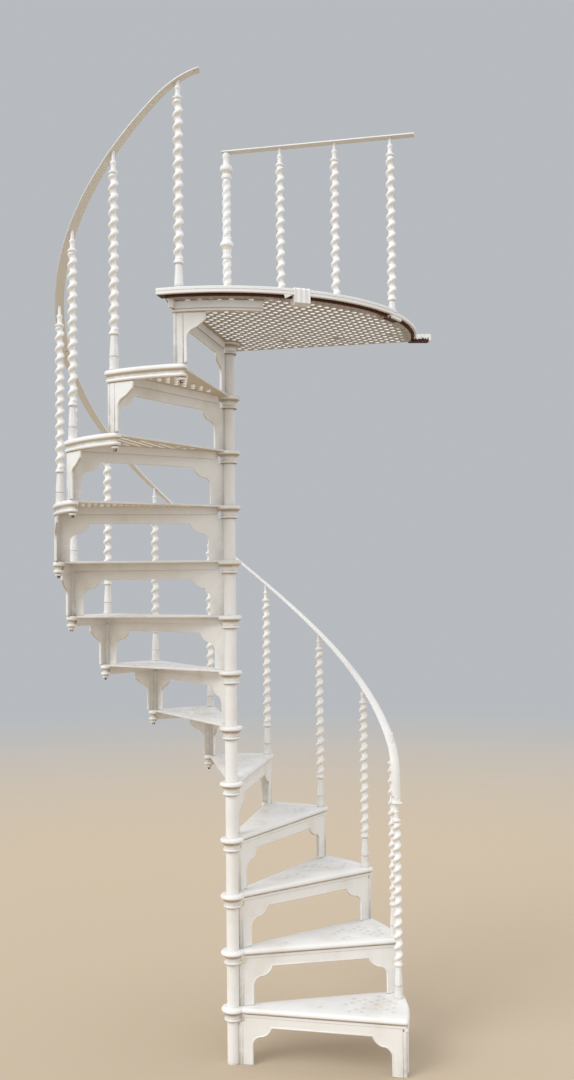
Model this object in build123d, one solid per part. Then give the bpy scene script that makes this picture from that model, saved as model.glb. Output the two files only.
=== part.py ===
"""Cast-iron spiral staircase: twelve treads and a quarter landing round one column.

Millimetres, +Z up. The origin is the centre of the column's foot, on the ground.
+X is the line from which the first tread is set out. The stair climbs anticlockwise seen from above.
"""
from build123d import *
from math import atan2, cos, degrees, pi, radians, sin, sqrt, tan
import os

# Setting out
TREAD_COUNT = 12
STEP_ANGLE = 22.5
RISE = 218.0
STAIR_RADIUS = 686.0
SEAT_GAP = 0.3

# Column and the collars cast on the treads
COLUMN_RADIUS = 24.5
COLLAR_RADIUS = 47.0
COLLAR_ROLL = 20.0
BELL_HEIGHT = 20.0
NECK_RADIUS = 31.5
NECK_RING_HEIGHT = 13.0
NECK_RING_BULGE = 4.0

# Treads: the front edge, the rim round the curve and the boss at the rear corner
PLATE_THICKNESS = 8.0
NOSING_REACH = 22.0
NOSING_ROLL = 22.0
NOSING_DEPTH = 36.0
FLANGE_PROUD = 1.0
REAR_LIP = 12.0
CORNER_ROUND = 12.0
RIM_ROLL = 22.0
RIM_HOLLOW = 10.0
RIM_BEAD = 14.0
RIM_BEAD_SETBACK = 1.5
RIM_THICKNESS = 16.0
BOSS_RADIUS = 22.0
BOSS_SETBACK = 0.2

# Risers
RISER_REACH = 11.0
RISER_THICKNESS = 8.0
STILE_WIDTH = 57.0
RAIL_DEPTH = 37.0
BRACKET_SIZE = 75.0
ARCH_BEAD_WIDTH = 8.0
ARCH_BEAD_RISE = 1.5
POST_SETBACK = 8.0
POST_DEPTH = 50.0
BEAD_RADIUS = 6.5
QUIRK_WIDTH = 2.5
QUIRK_DEPTH = 3.0
COLUMN_BEAD_RADIUS = 4.5
COLUMN_BEAD_RISE = 1.8
SIDE_BRACKET_REACH = 64.0
SIDE_BRACKET_HEIGHT = 98.0
SIDE_BRACKET_END = 26.0

# Bolts below the posts
BOLT_RADIUS = 6.0
BOLT_TAIL = 9.0
NUT_WIDTH = 24.0
NUT_HEIGHT = 10.0

# Balusters
BALUSTER_HEIGHT = 772.0
BALUSTER_INSET = 28.0
FOOT_RADIUS = 19.0
FOOT_HEIGHT = 44.0
TAPER_FOOT_RADIUS = 16.0
TAPER_HEAD_RADIUS = 12.0
RING_LEVEL = 130.0
RING_RADIUS = 17.2
RING_HEIGHT = 12.0
HEAD_RING_DROP = 75.0
NECKING_RADIUS = 8.5
BALL_DROP = 39.0
BALL_RADIUS = 11.0
NECK_PIN_RADIUS = 6.0
TWIST_RADIUS = 14.4
TWIST_OFFSET = 4.6
TWIST_PITCH = 43.0
TWIST_SIDES = 6
TWIST_SECTIONS = 5

# Newel over the column
NEWEL_FOOT_RADIUS = 26.0
NEWEL_RING_LEVEL = 142.0
NEWEL_RING_RADIUS = 20.5
NEWEL_KNOP_LEVEL = 392.0
NEWEL_KNOP_RADIUS = 28.0
NEWEL_CAPITAL_LEVEL = 702.0
NEWEL_CAPITAL_RADIUS = 25.5
NEWEL_SHAFT_RADIUS = 16.4
NEWEL_SQUASH = 2.4
NEWEL_PITCH = 70.0
NEWEL_SIDES = 8
NEWEL_SECTIONS = 8

# Handrails
BALUSTER_OFFSET = 5.0
FIRST_BALUSTER_ANGLE = 17.5
RAIL_WIDTH = 36.0
RAIL_THICKNESS = 11.0
RAIL_BEND_RADIUS = 200.0
RAIL_BEND_STEPS = 5
RAIL_FOOT_LENGTH = 44.0
RAIL_FOOT_THICKNESS = 6.0
RAIL_OVERRUN_ANGLE = 7.0
RAIL_EASING_ANGLE = 14.0
RAIL_EASING_DROP = 45.0
RAIL_STEP_ANGLE = 5.0

# Landing
LANDING_ANGLE = 90.0
LANDING_RADIUS = 712.0
LANDING_BACK_REACH = 140.0
STRIP_OVERHANG = 38.0
STRIP_WIDTH = 56.0
STRIP_HEIGHT = 22.0
STRIP_THIN_HEIGHT = 14.0
STRIP_START_REACH = 47.0
STRIP_END_REACH = 30.0
LAP_ANGLE = 70.0
LAP_LENGTH = 75.0
LAP_HEIGHT = 12.0
SPLICE_ANGLE = 34.4
SPLICE_LENGTH = 57.0
SPLICE_DROP = 31.0
SPLICE_PROUD = 4.0
LUG_ROOT = 28.0
LUG_REACH = 60.0
LUG_LENGTH = 38.0
LUG_DROP = 8.0
LUG_TOP = 20.0
RIB_ANGLE = 25.0
GUARD_SPACING = 220.0
GUARD_COUNT = 3
GUARD_END_REACH = 95.0

COLLAR_HEIGHT = COLLAR_ROLL + BELL_HEIGHT + NECK_RING_HEIGHT
RIM_DEPTH = RIM_ROLL + RIM_HOLLOW + RIM_BEAD
POST_FACE = STAIR_RADIUS - POST_SETBACK
POST_TOP = RISE - RIM_DEPTH
BALUSTER_CIRCLE = STAIR_RADIUS - BALUSTER_INSET
STRIP_RADIUS = LANDING_RADIUS + STRIP_OVERHANG
LANDING_LEVEL = (TREAD_COUNT + 1) * RISE
LANDING_START = TREAD_COUNT * STEP_ANGLE
LANDING_END = LANDING_START + LANDING_ANGLE
FAR = 3 * STAIR_RADIUS


def at_step(shape, number):
    """Turn and lift a piece drawn at the first riser to its own step."""
    turned = Rot(0, 0, (number - 1) * STEP_ANGLE) * shape
    return Pos(0, 0, (number - 1) * RISE) * turned


def disc(radius, bottom, top, x=0.0, y=0.0):
    """An upright cylinder between two levels."""
    return Pos(x, y, (bottom + top) / 2) * Cylinder(radius, top - bottom)


def ring(inner, outer, bottom, top):
    """An upright tube between two levels."""
    return disc(outer, bottom, top) - disc(inner, bottom - 1, top + 1)


def block(near, far, front, rear, bottom, top):
    """A box between two values of x, two of y and two levels."""
    middle = Pos((near + far) / 2, (front + rear) / 2, (bottom + top) / 2)
    return middle * Box(far - near, rear - front, top - bottom)


def arc_block(inner, outer, bottom, top, start, end):
    """A bar of rectangular section bent round the axis between two angles."""
    section = Pos((inner + outer) / 2, (bottom + top) / 2) * Rectangle(outer - inner, top - bottom)
    return Rot(0, 0, start) * revolve(Plane.XZ * section, Axis.Z, end - start)


def sector_plan(start_reach, end_reach, angle, radius):
    """Flat outline between two edges that run beside the radii at 0 and at the given angle."""
    turn = radians(angle)
    rear = (FAR * cos(turn) - end_reach * sin(turn), FAR * sin(turn) + end_reach * cos(turn))
    rear_root = (-end_reach * sin(turn), end_reach * cos(turn))
    outline = Polyline((0, -start_reach), (FAR, -start_reach), rear, rear_root, close=True)
    return make_face(outline) & Circle(radius)


def turned(points):
    """A solid of revolution from the corners of its half section."""
    return revolve(Plane.XZ * make_face(Polyline(*points, close=True)), Axis.Z)


def collar_profile():
    """Half section of a collar, top at zero: a roll, a hollow bell and a swelled neck ring."""
    roll = COLLAR_ROLL / 2
    flat = COLLAR_RADIUS - roll
    bell_top = COLLAR_RADIUS - roll * 0.8
    bell_foot = -COLLAR_ROLL - BELL_HEIGHT
    lines = [
        Line((0, 0), (flat, 0)),
        ThreePointArc((flat, 0), (COLLAR_RADIUS, -roll), (flat, -COLLAR_ROLL)),
        Line((flat, -COLLAR_ROLL), (bell_top, -COLLAR_ROLL)),
        ThreePointArc((bell_top, -COLLAR_ROLL),
                      (NECK_RADIUS + 1.5, -COLLAR_ROLL - BELL_HEIGHT * 0.45),
                      (NECK_RADIUS, bell_foot)),
        ThreePointArc((NECK_RADIUS, bell_foot),
                      (NECK_RADIUS + NECK_RING_BULGE, bell_foot - NECK_RING_HEIGHT / 2),
                      (NECK_RADIUS, -COLLAR_HEIGHT)),
        Line((NECK_RADIUS, -COLLAR_HEIGHT), (0, -COLLAR_HEIGHT)),
        Line((0, -COLLAR_HEIGHT), (0, 0)),
    ]
    return Plane.XZ * make_face(lines)


def collar(top):
    """The moulded collar by which a tread is threaded on the column."""
    return Pos(0, 0, top) * revolve(collar_profile(), Axis.Z)


def front_profile(back, depth):
    """Section of a front edge, top at zero: a half-round roll that overhangs a flat flange."""
    roll = NOSING_ROLL / 2
    neck = roll - NOSING_REACH
    flange = -RISER_REACH - FLANGE_PROUD
    lines = [
        Line((back, 0), (neck, 0)),
        ThreePointArc((neck, 0), (-NOSING_REACH, -roll), (neck, -NOSING_ROLL)),
        Polyline((neck, -NOSING_ROLL), (flange, -NOSING_ROLL - FLANGE_PROUD),
                 (flange, -depth), (back, -depth), (back, 0)),
    ]
    return Plane.YZ * make_face(lines)


def nosing(length, top):
    """The moulding along a front edge, in front of the line from which the tread is set out."""
    return Pos(0, 0, top) * extrude(front_profile(0, NOSING_DEPTH), amount=length)


def rim_profile(radius):
    """Half section of a moulded edge, top at zero: a roll, a hollow and a bead below it."""
    neck = radius - RIM_ROLL / 2
    waist = radius - RIM_BEAD_SETBACK - RIM_BEAD / 2
    bead_top = RIM_BEAD - RIM_DEPTH
    lines = [
        Line((0, 0), (neck, 0)),
        ThreePointArc((neck, 0), (radius, -RIM_ROLL / 2), (neck, -RIM_ROLL)),
        ThreePointArc((neck, -RIM_ROLL),
                      (neck - RIM_HOLLOW * 0.15, -RIM_ROLL - RIM_HOLLOW / 2),
                      (waist, bead_top)),
        ThreePointArc((waist, bead_top),
                      (waist + RIM_BEAD / 2, bead_top - RIM_BEAD / 2),
                      (waist, -RIM_DEPTH)),
        Line((waist, -RIM_DEPTH), (0, -RIM_DEPTH)),
        Line((0, -RIM_DEPTH), (0, 0)),
    ]
    return Plane.XZ * make_face(lines)


def bolt_place():
    """Plan place of a post's bolt, beside the riser's own radius."""
    y = POST_DEPTH / 2 - RISER_REACH
    return sqrt((STAIR_RADIUS - BOSS_SETBACK - BOSS_RADIUS) ** 2 - y ** 2), y


def tread():
    """One tread casting. Its front and its rim are mitred by cutting one block with both
    mouldings; the room under the plate is then taken out, and the moulding runs on round the boss."""
    plan = sector_plan(NOSING_REACH, REAR_LIP, STEP_ANGLE, STAIR_RADIUS)
    corner = plan.vertices().group_by(Axis.Y)[0].sort_by(Axis.X)[-1]
    plan = fillet(corner, CORNER_ROUND)
    whole = Pos(0, 0, POST_TOP) * extrude(plan, amount=RIM_DEPTH)
    whole = whole & (Pos(0, 0, RISE) * revolve(rim_profile(STAIR_RADIUS), Axis.Z))
    whole = whole & (Pos(0, 0, RISE) * extrude(front_profile(STAIR_RADIUS, RIM_DEPTH), amount=STAIR_RADIUS))
    room = disc(STAIR_RADIUS - RIM_THICKNESS, POST_TOP - 1, RISE - PLATE_THICKNESS)
    room = room - nosing(STAIR_RADIUS, RISE)
    boss = Pos(*bolt_place(), RISE) * revolve(rim_profile(BOSS_RADIUS), Axis.Z)
    return (whole - room) + Rot(0, 0, STEP_ANGLE) * boss + collar(RISE)


def ogee(stile, toward):
    """Edge of an ogee bracket, from the stile's side up to the rail."""
    rail = RISE - NOSING_DEPTH - RAIL_DEPTH
    size = BRACKET_SIZE
    foot = (stile, rail - size)
    cusp = (stile + toward * size * 0.36, rail - size * 0.5)
    shelf = (stile + toward * size * 0.46, rail - size * 0.5)
    head = (stile + toward * size, rail)
    cove_middle = (stile + toward * size * 0.09, rail - size * 0.68)
    ovolo_middle = (stile + toward * size * 0.8, rail - size * 0.32)
    return [
        ThreePointArc(foot, cove_middle, cusp),
        Line(cusp, shelf),
        ThreePointArc(shelf, ovolo_middle, head),
    ]


def arch_edge(left, right):
    """The open arch's edge over its straight sides: an ogee, the rail's underside, an ogee."""
    rail = RISE - NOSING_DEPTH - RAIL_DEPTH
    lines = ogee(right, -1) + ogee(left, 1)
    return lines + [Line((left + BRACKET_SIZE, rail), (right - BRACKET_SIZE, rail))]


def riser_frame(outer):
    """The arched frame in the plane of a riser, with a flat bead raised round its arch."""
    inner = COLUMN_RADIUS + SEAT_GAP
    head = RISE - NOSING_DEPTH
    left = inner + STILE_WIDTH
    right = POST_FACE - STILE_WIDTH
    spring = head - RAIL_DEPTH - BRACKET_SIZE
    lines = [Polyline((left, spring), (left, 0), (inner, 0), (inner, head), (outer, head), (outer, 0),
                      (right, 0), (right, spring))]
    frame = extrude(Plane.XZ * make_face(lines + arch_edge(left, right)), amount=-RISER_THICKNESS)
    sides = [Polyline((left, spring), (left, 0), (right, 0), (right, spring))]
    opening = make_face(sides + arch_edge(left, right))
    band = offset(opening, ARCH_BEAD_WIDTH) - opening
    band = band & (Pos((left + right) / 2, head / 2) * Rectangle(right - left + 4 * ARCH_BEAD_WIDTH, head))
    bead = extrude(Plane.XZ * band, amount=ARCH_BEAD_RISE)
    return Pos(0, -RISER_REACH, 0) * (frame + bead)


def post_return():
    """The side of a post, round the curve of the stair, with its ogee bracket under the rim."""
    front = 2 * BEAD_RADIUS + QUIRK_WIDTH - RISER_REACH
    rear = POST_DEPTH - RISER_REACH
    tip = rear + SIDE_BRACKET_REACH
    low = POST_TOP - SIDE_BRACKET_HEIGHT
    cusp = (rear + SIDE_BRACKET_REACH * 0.36, POST_TOP - SIDE_BRACKET_HEIGHT * 0.59)
    shelf = (rear + SIDE_BRACKET_REACH * 0.55, POST_TOP - SIDE_BRACKET_HEIGHT * 0.53)
    lip = (tip, POST_TOP - SIDE_BRACKET_END)
    lines = [
        Polyline(lip, (tip, POST_TOP), (front, POST_TOP), (front, 0), (rear, 0), (rear, low)),
        ThreePointArc((rear, low), (rear + 5, POST_TOP - SIDE_BRACKET_HEIGHT * 0.74), cusp),
        Line(cusp, shelf),
        ThreePointArc(shelf, (tip - 9, POST_TOP - SIDE_BRACKET_END - 9), lip),
    ]
    blade = extrude(Plane.YZ * make_face(lines), amount=5 * RISER_THICKNESS)
    blade = Pos(POST_FACE - 4 * RISER_THICKNESS, 0, 0) * blade
    return blade & ring(POST_FACE - RISER_THICKNESS, POST_FACE, 0, POST_TOP)


def riser():
    """One riser casting: the arched frame, the side of its post, the bead between two quirks in
    their corner and the beads by the column."""
    outer = POST_FACE - 2 * BEAD_RADIUS - QUIRK_WIDTH
    inner = COLUMN_RADIUS + SEAT_GAP
    core = block(outer - RISER_THICKNESS / 2, POST_FACE - QUIRK_DEPTH,
                 QUIRK_DEPTH - RISER_REACH, 2 * BEAD_RADIUS + QUIRK_WIDTH - RISER_REACH + 4, 0, POST_TOP)
    bead = disc(BEAD_RADIUS, 0, POST_TOP, POST_FACE - BEAD_RADIUS, BEAD_RADIUS - RISER_REACH)
    bead_top = RISE - COLLAR_HEIGHT - SEAT_GAP
    bead_y = COLUMN_BEAD_RADIUS - COLUMN_BEAD_RISE - RISER_REACH
    beads = [disc(COLUMN_BEAD_RADIUS, 0, bead_top, inner + COLUMN_BEAD_RADIUS * place, bead_y)
             for place in (1, 3)]
    collar_room = disc(COLLAR_RADIUS + SEAT_GAP, bead_top, RISE)
    frame = riser_frame(outer) - collar_room
    return frame + core + post_return() + bead + beads[0] + beads[1]


def column_drums():
    """The column between one collar and the next, as one short drum for each rise."""
    drum = disc(COLUMN_RADIUS, 0, RISE - COLLAR_HEIGHT)
    return [Pos(0, 0, number * RISE) * drum for number in range(TREAD_COUNT + 1)]


def post_bolts():
    """The nut and the bolt's tail below each post that stands on a tread."""
    nut = extrude(RegularPolygon(NUT_WIDTH / 2, 6, major_radius=False), amount=NUT_HEIGHT)
    tail = disc(BOLT_RADIUS, -BOLT_TAIL, 0)
    x, y = bolt_place()
    bolt = Pos(x, y, -RIM_DEPTH - NUT_HEIGHT) * (nut + tail)
    return [at_step(bolt, number + 1) for number in range(1, TREAD_COUNT + 1)]


def rail_line():
    """Middle line of the stair's handrail, unrolled: arc length round the stair against level."""
    pitch = RISE / radians(STEP_ANGLE) / BALUSTER_CIRCLE
    slope = atan2(pitch, 1)
    foot = radians(FIRST_BALUSTER_ANGLE) * BALUSTER_CIRCLE
    level = RISE + BALUSTER_HEIGHT
    corner = level + foot * pitch
    tangent = RAIL_BEND_RADIUS * tan((pi / 2 - slope) / 2)
    line = [(foot, level)]
    for index in range(RAIL_BEND_STEPS + 1):
        turn = pi - (pi / 2 - slope) * index / RAIL_BEND_STEPS
        line.append((foot + RAIL_BEND_RADIUS * (1 + cos(turn)),
                     corner - tangent + RAIL_BEND_RADIUS * sin(turn)))
    step = radians(RAIL_STEP_ANGLE) * BALUSTER_CIRCLE
    end = radians(LANDING_START + RAIL_OVERRUN_ANGLE) * BALUSTER_CIRCLE
    easing = radians(RAIL_EASING_ANGLE) * BALUSTER_CIRCLE
    count = round((end - line[-1][0]) / step)
    start = line[-1][0]
    for index in range(1, count + 1):
        along = start + (end - start) * index / count
        past = max(0, along - end + easing) / easing
        line.append((along, level + along * pitch - RAIL_EASING_DROP * past ** 2))
    return line


def rail_frame(line, along):
    """Middle point, outward direction and upward normal of the handrail at an arc length."""
    index = next(i for i in range(1, len(line)) if line[i][0] >= along)
    before, after = line[index - 1], line[index]
    share = (along - before[0]) / (after[0] - before[0])
    return unrolled_frame(along, before[1] + share * (after[1] - before[1]), before, after)


def unrolled_frame(along, level, before, after):
    """The same, from a point of the unrolled line and two points that give its direction."""
    turn = along / BALUSTER_CIRCLE
    outward = Vector(cos(turn), sin(turn), 0)
    around = Vector(-sin(turn), cos(turn), 0)
    direction = around * (after[0] - before[0]) + Vector(0, 0, after[1] - before[1])
    return outward * BALUSTER_CIRCLE + Vector(0, 0, level), outward, outward.cross(direction.normalized())


def rail_section(middle, outward, normal):
    """The handrail's section: flat below, with its top edges eased."""
    half = RAIL_WIDTH / 2
    shoulder = half * 0.6
    top = RAIL_THICKNESS / 2
    corners = [(-half, -top), (half, -top), (half, 0), (shoulder, top), (-shoulder, top), (-half, 0)]
    points = [middle + outward * across + normal * up for across, up in corners]
    return make_face(Polyline(*points, close=True))


def stair_rail(line, first, last):
    """A length of the spiral handrail between two points of its unrolled line."""
    sections = []
    for index in range(first, last + 1):
        before = line[max(index - 1, 0)]
        after = line[min(index + 1, len(line) - 1)]
        if index == 0:
            before, after = (line[0][0], line[0][1] - 1), line[0]
        sections.append(rail_section(*unrolled_frame(*line[index], before, after)))
    return loft(sections, ruled=True)


def rail_foot(line):
    """The small plate under the handrail's lower end, on the neck of the first baluster."""
    turn = line[0][0] / BALUSTER_CIRCLE
    plate = Box(RAIL_WIDTH + 4, RAIL_FOOT_LENGTH, RAIL_FOOT_THICKNESS)
    plate = Pos(BALUSTER_CIRCLE, 0, line[0][1] - RAIL_FOOT_THICKNESS / 2) * plate
    return Rot(0, 0, degrees(turn)) * plate


def twisted_bar(radius, offset_reach, squash, pitch, bottom, top, sides, per_turn):
    """A twisted bar, as a ruled loft of polygons that keep their heading. At each level the
    polygon's middle stands off the axis towards the thread's angle, and its corners reach further
    out the nearer they are to that angle or its opposite."""
    count = round((top - bottom) / pitch * per_turn)
    sections = []
    for index in range(count + 1):
        level = bottom + (top - bottom) * index / count
        turn = 2 * pi * level / pitch
        inside = 0 < index < count
        reach = offset_reach if inside else 0
        swell = squash if inside else 0
        middle = Vector(reach * cos(turn), reach * sin(turn), level)
        corners = []
        for side in range(sides):
            angle = 2 * pi * side / sides
            out = radius + swell * cos(2 * (angle - turn))
            corners.append(middle + Vector(out * cos(angle), out * sin(angle), 0))
        sections.append(make_face(Polyline(*corners, close=True)))
    return loft(sections, ruled=True)


def baluster_foot():
    """The turned foot of a baluster: base drum, tapered neck and the ring the twist starts from."""
    low = RING_LEVEL - RING_HEIGHT / 2
    high = RING_LEVEL + RING_HEIGHT / 2
    return turned([
        (0, 0), (FOOT_RADIUS, 0), (FOOT_RADIUS, 4), (FOOT_RADIUS - 3, 12),
        (FOOT_RADIUS - 3, FOOT_HEIGHT - 4), (FOOT_RADIUS - 2, FOOT_HEIGHT), (TAPER_FOOT_RADIUS - 2, FOOT_HEIGHT + 3),
        (TAPER_FOOT_RADIUS, FOOT_HEIGHT + 8), (TAPER_HEAD_RADIUS, low - 3), (RING_RADIUS, low + 1),
        (RING_RADIUS, high - 1), (TWIST_RADIUS, high + 3), (TWIST_RADIUS, high + 6), (0, high + 6),
    ])


def baluster_head():
    """The turned head of a baluster: ring, slender neck and the ball under the handrail."""
    band = BALUSTER_HEIGHT - HEAD_RING_DROP
    ball = BALUSTER_HEIGHT - BALL_DROP
    return turned([
        (0, band - 12), (TWIST_RADIUS, band - 12), (TWIST_RADIUS, band - 6), (RING_RADIUS, band - 3),
        (RING_RADIUS, band + 5), (NECKING_RADIUS, band + 9), (NECKING_RADIUS, ball - 9),
        (BALL_RADIUS, ball - 2), (BALL_RADIUS, ball + 3), (NECK_PIN_RADIUS, ball + 8), (0, ball + 8),
    ])


def baluster_body():
    """A twisted baluster up to the ball under its neck."""
    bottom = RING_LEVEL + RING_HEIGHT / 2
    top = BALUSTER_HEIGHT - HEAD_RING_DROP - 5
    twist = twisted_bar(TWIST_RADIUS, TWIST_OFFSET, 0, TWIST_PITCH, bottom, top, TWIST_SIDES, TWIST_SECTIONS)
    return baluster_foot() + twist + baluster_head()


def baluster(body, foot, seat_middle, seat_normal):
    """A baluster at a foot point, its neck cut to the slope of the rail above it."""
    neck = Pos(*foot) * disc(NECK_PIN_RADIUS, BALUSTER_HEIGHT - BALL_DROP, BALUSTER_HEIGHT + 12)
    seat = Plane(origin=seat_middle, z_dir=seat_normal)
    return Pos(*foot) * body + split(neck, bisect_by=seat, keep=Keep.BOTTOM)


def stair_baluster(body, line, along, level):
    """A baluster of the spiral handrail."""
    middle, outward, normal = rail_frame(line, along)
    foot = outward * BALUSTER_CIRCLE + Vector(0, 0, level)
    under = middle - normal * (RAIL_THICKNESS / 2 + SEAT_GAP)
    return baluster(body, (foot.X, foot.Y, foot.Z), under, normal)


def first_baluster(body, line):
    """The baluster below the handrail's lower end."""
    turn = line[0][0] / BALUSTER_CIRCLE
    x, y = BALUSTER_CIRCLE * cos(turn), BALUSTER_CIRCLE * sin(turn)
    under = Vector(x, y, line[0][1] - RAIL_FOOT_THICKNESS)
    return baluster(body, (x, y, RISE), under, Vector(0, 0, 1))


def landing_turned(shape):
    """Turn and lift a landing piece drawn at the first riser to the landing's front."""
    return at_step(shape, TREAD_COUNT + 1)


def landing_plate():
    """The quarter plate with its nosing, its plain corner and the hub that sits on the column."""
    plan = sector_plan(0, LANDING_BACK_REACH, LANDING_ANGLE, LANDING_RADIUS)
    plate = Pos(0, 0, RISE - PLATE_THICKNESS) * extrude(plan, amount=PLATE_THICKNESS)
    corner = block(-LANDING_BACK_REACH, 0, -NOSING_REACH, 0, RISE - PLATE_THICKNESS, RISE)
    front = nosing(LANDING_RADIUS, RISE) & disc(LANDING_RADIUS, 0, RISE)
    return landing_turned(plate + corner + front + collar(RISE))


def landing_strip():
    """The bar that stands proud of the landing's curved edge: a thick length and a thin one that
    meet over a lap plate, a splice clamp, and the lug at its end."""
    start = -degrees(STRIP_START_REACH / STRIP_RADIUS)
    end = LANDING_ANGLE + degrees((LANDING_BACK_REACH + STRIP_END_REACH) / STRIP_RADIUS)
    inner = STRIP_RADIUS - STRIP_WIDTH
    beside = LANDING_RADIUS + SEAT_GAP
    thick = arc_block(inner, STRIP_RADIUS, RISE, RISE + STRIP_HEIGHT, start, LAP_ANGLE)
    thin = arc_block(inner, STRIP_RADIUS, RISE, RISE + STRIP_THIN_HEIGHT, LAP_ANGLE, end)
    half_lap = degrees(LAP_LENGTH / STRIP_RADIUS) / 2
    lap = arc_block(beside, STRIP_RADIUS, RISE - LAP_HEIGHT, RISE, LAP_ANGLE - half_lap, LAP_ANGLE + half_lap)
    half_splice = degrees(SPLICE_LENGTH / STRIP_RADIUS) / 2
    splice = arc_block(beside, STRIP_RADIUS + SPLICE_PROUD, RISE - SPLICE_DROP,
                       RISE + STRIP_HEIGHT + SPLICE_PROUD, SPLICE_ANGLE - half_splice, SPLICE_ANGLE + half_splice)
    lug = arc_block(STRIP_RADIUS - LUG_ROOT, STRIP_RADIUS + LUG_REACH, RISE - LUG_DROP, RISE + LUG_TOP,
                    end - degrees(LUG_LENGTH / STRIP_RADIUS), end)
    return landing_turned(thick + thin + lap + splice + lug)


def landing_fascia():
    """The rib under the landing, one tread long, that continues the stair's curve."""
    start = -degrees((RISER_REACH + FLANGE_PROUD) / STAIR_RADIUS)
    rib = arc_block(STAIR_RADIUS - RIM_THICKNESS, STAIR_RADIUS, POST_TOP, RISE - PLATE_THICKNESS,
                    start, RIB_ANGLE)
    front_room = block(0, LANDING_RADIUS, -NOSING_REACH, 0, RISE - NOSING_DEPTH, RISE)
    return landing_turned(rib - front_room)


def guard_frame(reach):
    """Middle point and normal of the landing's handrail at a distance from the column."""
    turn = radians(LANDING_END)
    level = LANDING_LEVEL + BALUSTER_HEIGHT
    return Vector(reach * cos(turn), reach * sin(turn), level), Vector(0, 0, 1)


def guard_baluster(body, reach):
    """A baluster of the landing's guard."""
    middle, normal = guard_frame(reach)
    under = middle - normal * (RAIL_THICKNESS / 2 + SEAT_GAP)
    return baluster(body, (middle.X, middle.Y, LANDING_LEVEL), under, normal)


def guard_rail():
    """The level handrail over the landing's straight edge."""
    turn = radians(LANDING_END)
    sideways = Vector(-sin(turn), cos(turn), 0)
    end = GUARD_COUNT * GUARD_SPACING + GUARD_END_REACH
    sections = [rail_section(guard_frame(reach)[0], sideways, guard_frame(reach)[1])
                for reach in (-RAIL_WIDTH / 2, end)]
    return loft(sections, ruled=True)


def newel_shaft(bottom, top):
    """A length of the newel's two-start twist."""
    return twisted_bar(NEWEL_SHAFT_RADIUS, 0, NEWEL_SQUASH, NEWEL_PITCH, bottom, top,
                       NEWEL_SIDES, NEWEL_SECTIONS)


def newel():
    """The newel post that stands on the landing's hub: foot, knop and capital with twisted
    lengths between them."""
    shaft = NEWEL_SHAFT_RADIUS
    ring_top = NEWEL_RING_LEVEL + 4
    knop = NEWEL_KNOP_LEVEL
    knop_ring = knop - 50
    capital = NEWEL_CAPITAL_LEVEL
    capital_ring = capital - 34
    top = BALUSTER_HEIGHT - RAIL_THICKNESS / 2 - SEAT_GAP
    foot = turned([
        (0, 0), (NEWEL_FOOT_RADIUS, 0), (NEWEL_FOOT_RADIUS, 26), (shaft + 5, 32), (shaft + 5, 38),
        (shaft - 1, ring_top - 12), (NEWEL_RING_RADIUS, ring_top - 8), (NEWEL_RING_RADIUS, ring_top),
        (shaft, ring_top + 4), (shaft, ring_top + 8), (0, ring_top + 8),
    ])
    middle = turned([
        (0, knop_ring - 10), (shaft, knop_ring - 10), (shaft, knop_ring - 8),
        (NEWEL_RING_RADIUS, knop_ring - 5), (NEWEL_RING_RADIUS, knop_ring + 5), (shaft, knop_ring + 9),
        (shaft + 2, knop - 16), (NEWEL_KNOP_RADIUS, knop - 4), (NEWEL_KNOP_RADIUS, knop + 5),
        (shaft + 3, knop + 14), (shaft, knop + 26), (shaft, knop + 30), (0, knop + 30),
    ])
    head = turned([
        (0, capital_ring - 12), (shaft, capital_ring - 12), (shaft, capital_ring - 10),
        (NEWEL_RING_RADIUS, capital_ring - 7), (NEWEL_RING_RADIUS, capital_ring + 7), (shaft, capital_ring + 10),
        (shaft, capital - 14), (NEWEL_CAPITAL_RADIUS, capital - 9), (NEWEL_CAPITAL_RADIUS, capital + 9),
        (shaft - 4, capital + 16), (shaft - 4, top - 20), (shaft - 1, top - 17), (shaft - 1, top), (0, top),
    ])
    post = foot + newel_shaft(ring_top + 4, knop_ring - 8)
    post = post + middle + newel_shaft(knop + 26, capital_ring - 10) + head
    return Pos(0, 0, LANDING_LEVEL) * post


def save(name, pieces):
    """Write one piece, or several that don't touch, under a name."""
    solids = pieces if isinstance(pieces, list) else [pieces]
    flat = [solid for piece in solids for solid in piece.solids()]
    export_step(flat[0] if len(flat) == 1 else Compound(children=flat), f"parts/{name}.step")


os.makedirs("parts", exist_ok=True)

one_tread = tread()
one_riser = riser()
for number in range(1, TREAD_COUNT + 1):
    save(f"tread_{number:02d}", at_step(one_tread, number))
for number in range(1, TREAD_COUNT + 2):
    save(f"riser_{number:02d}", at_step(one_riser, number))
save("column_drums", column_drums())
save("post_bolts", post_bolts())

line = rail_line()
body = baluster_body()
balusters = [first_baluster(body, line)]
for number in range(2, TREAD_COUNT + 2):
    along = radians((number - 1) * STEP_ANGLE) * BALUSTER_CIRCLE + BALUSTER_OFFSET
    balusters.append(stair_baluster(body, line, along, number * RISE))
third = len(balusters) // 3 + 1
save("balusters_lower", balusters[:third])
save("balusters_middle", balusters[third:2 * third])
save("balusters_upper", balusters[2 * third:])

cuts = [0, len(line) // 3 + 1, 2 * len(line) // 3 + 1, len(line) - 1]
save("handrail_lower", stair_rail(line, cuts[0], cuts[1]) + rail_foot(line))
save("handrail_middle", stair_rail(line, cuts[1], cuts[2]))
save("handrail_upper", stair_rail(line, cuts[2], cuts[3]))

save("landing_plate", landing_plate())
save("landing_strip", landing_strip())
save("landing_fascia", landing_fascia())
save("guard_balusters", [guard_baluster(body, GUARD_SPACING * (index + 1)) for index in range(GUARD_COUNT)])
save("guard_rail", guard_rail())
save("newel_post", newel())
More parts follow.
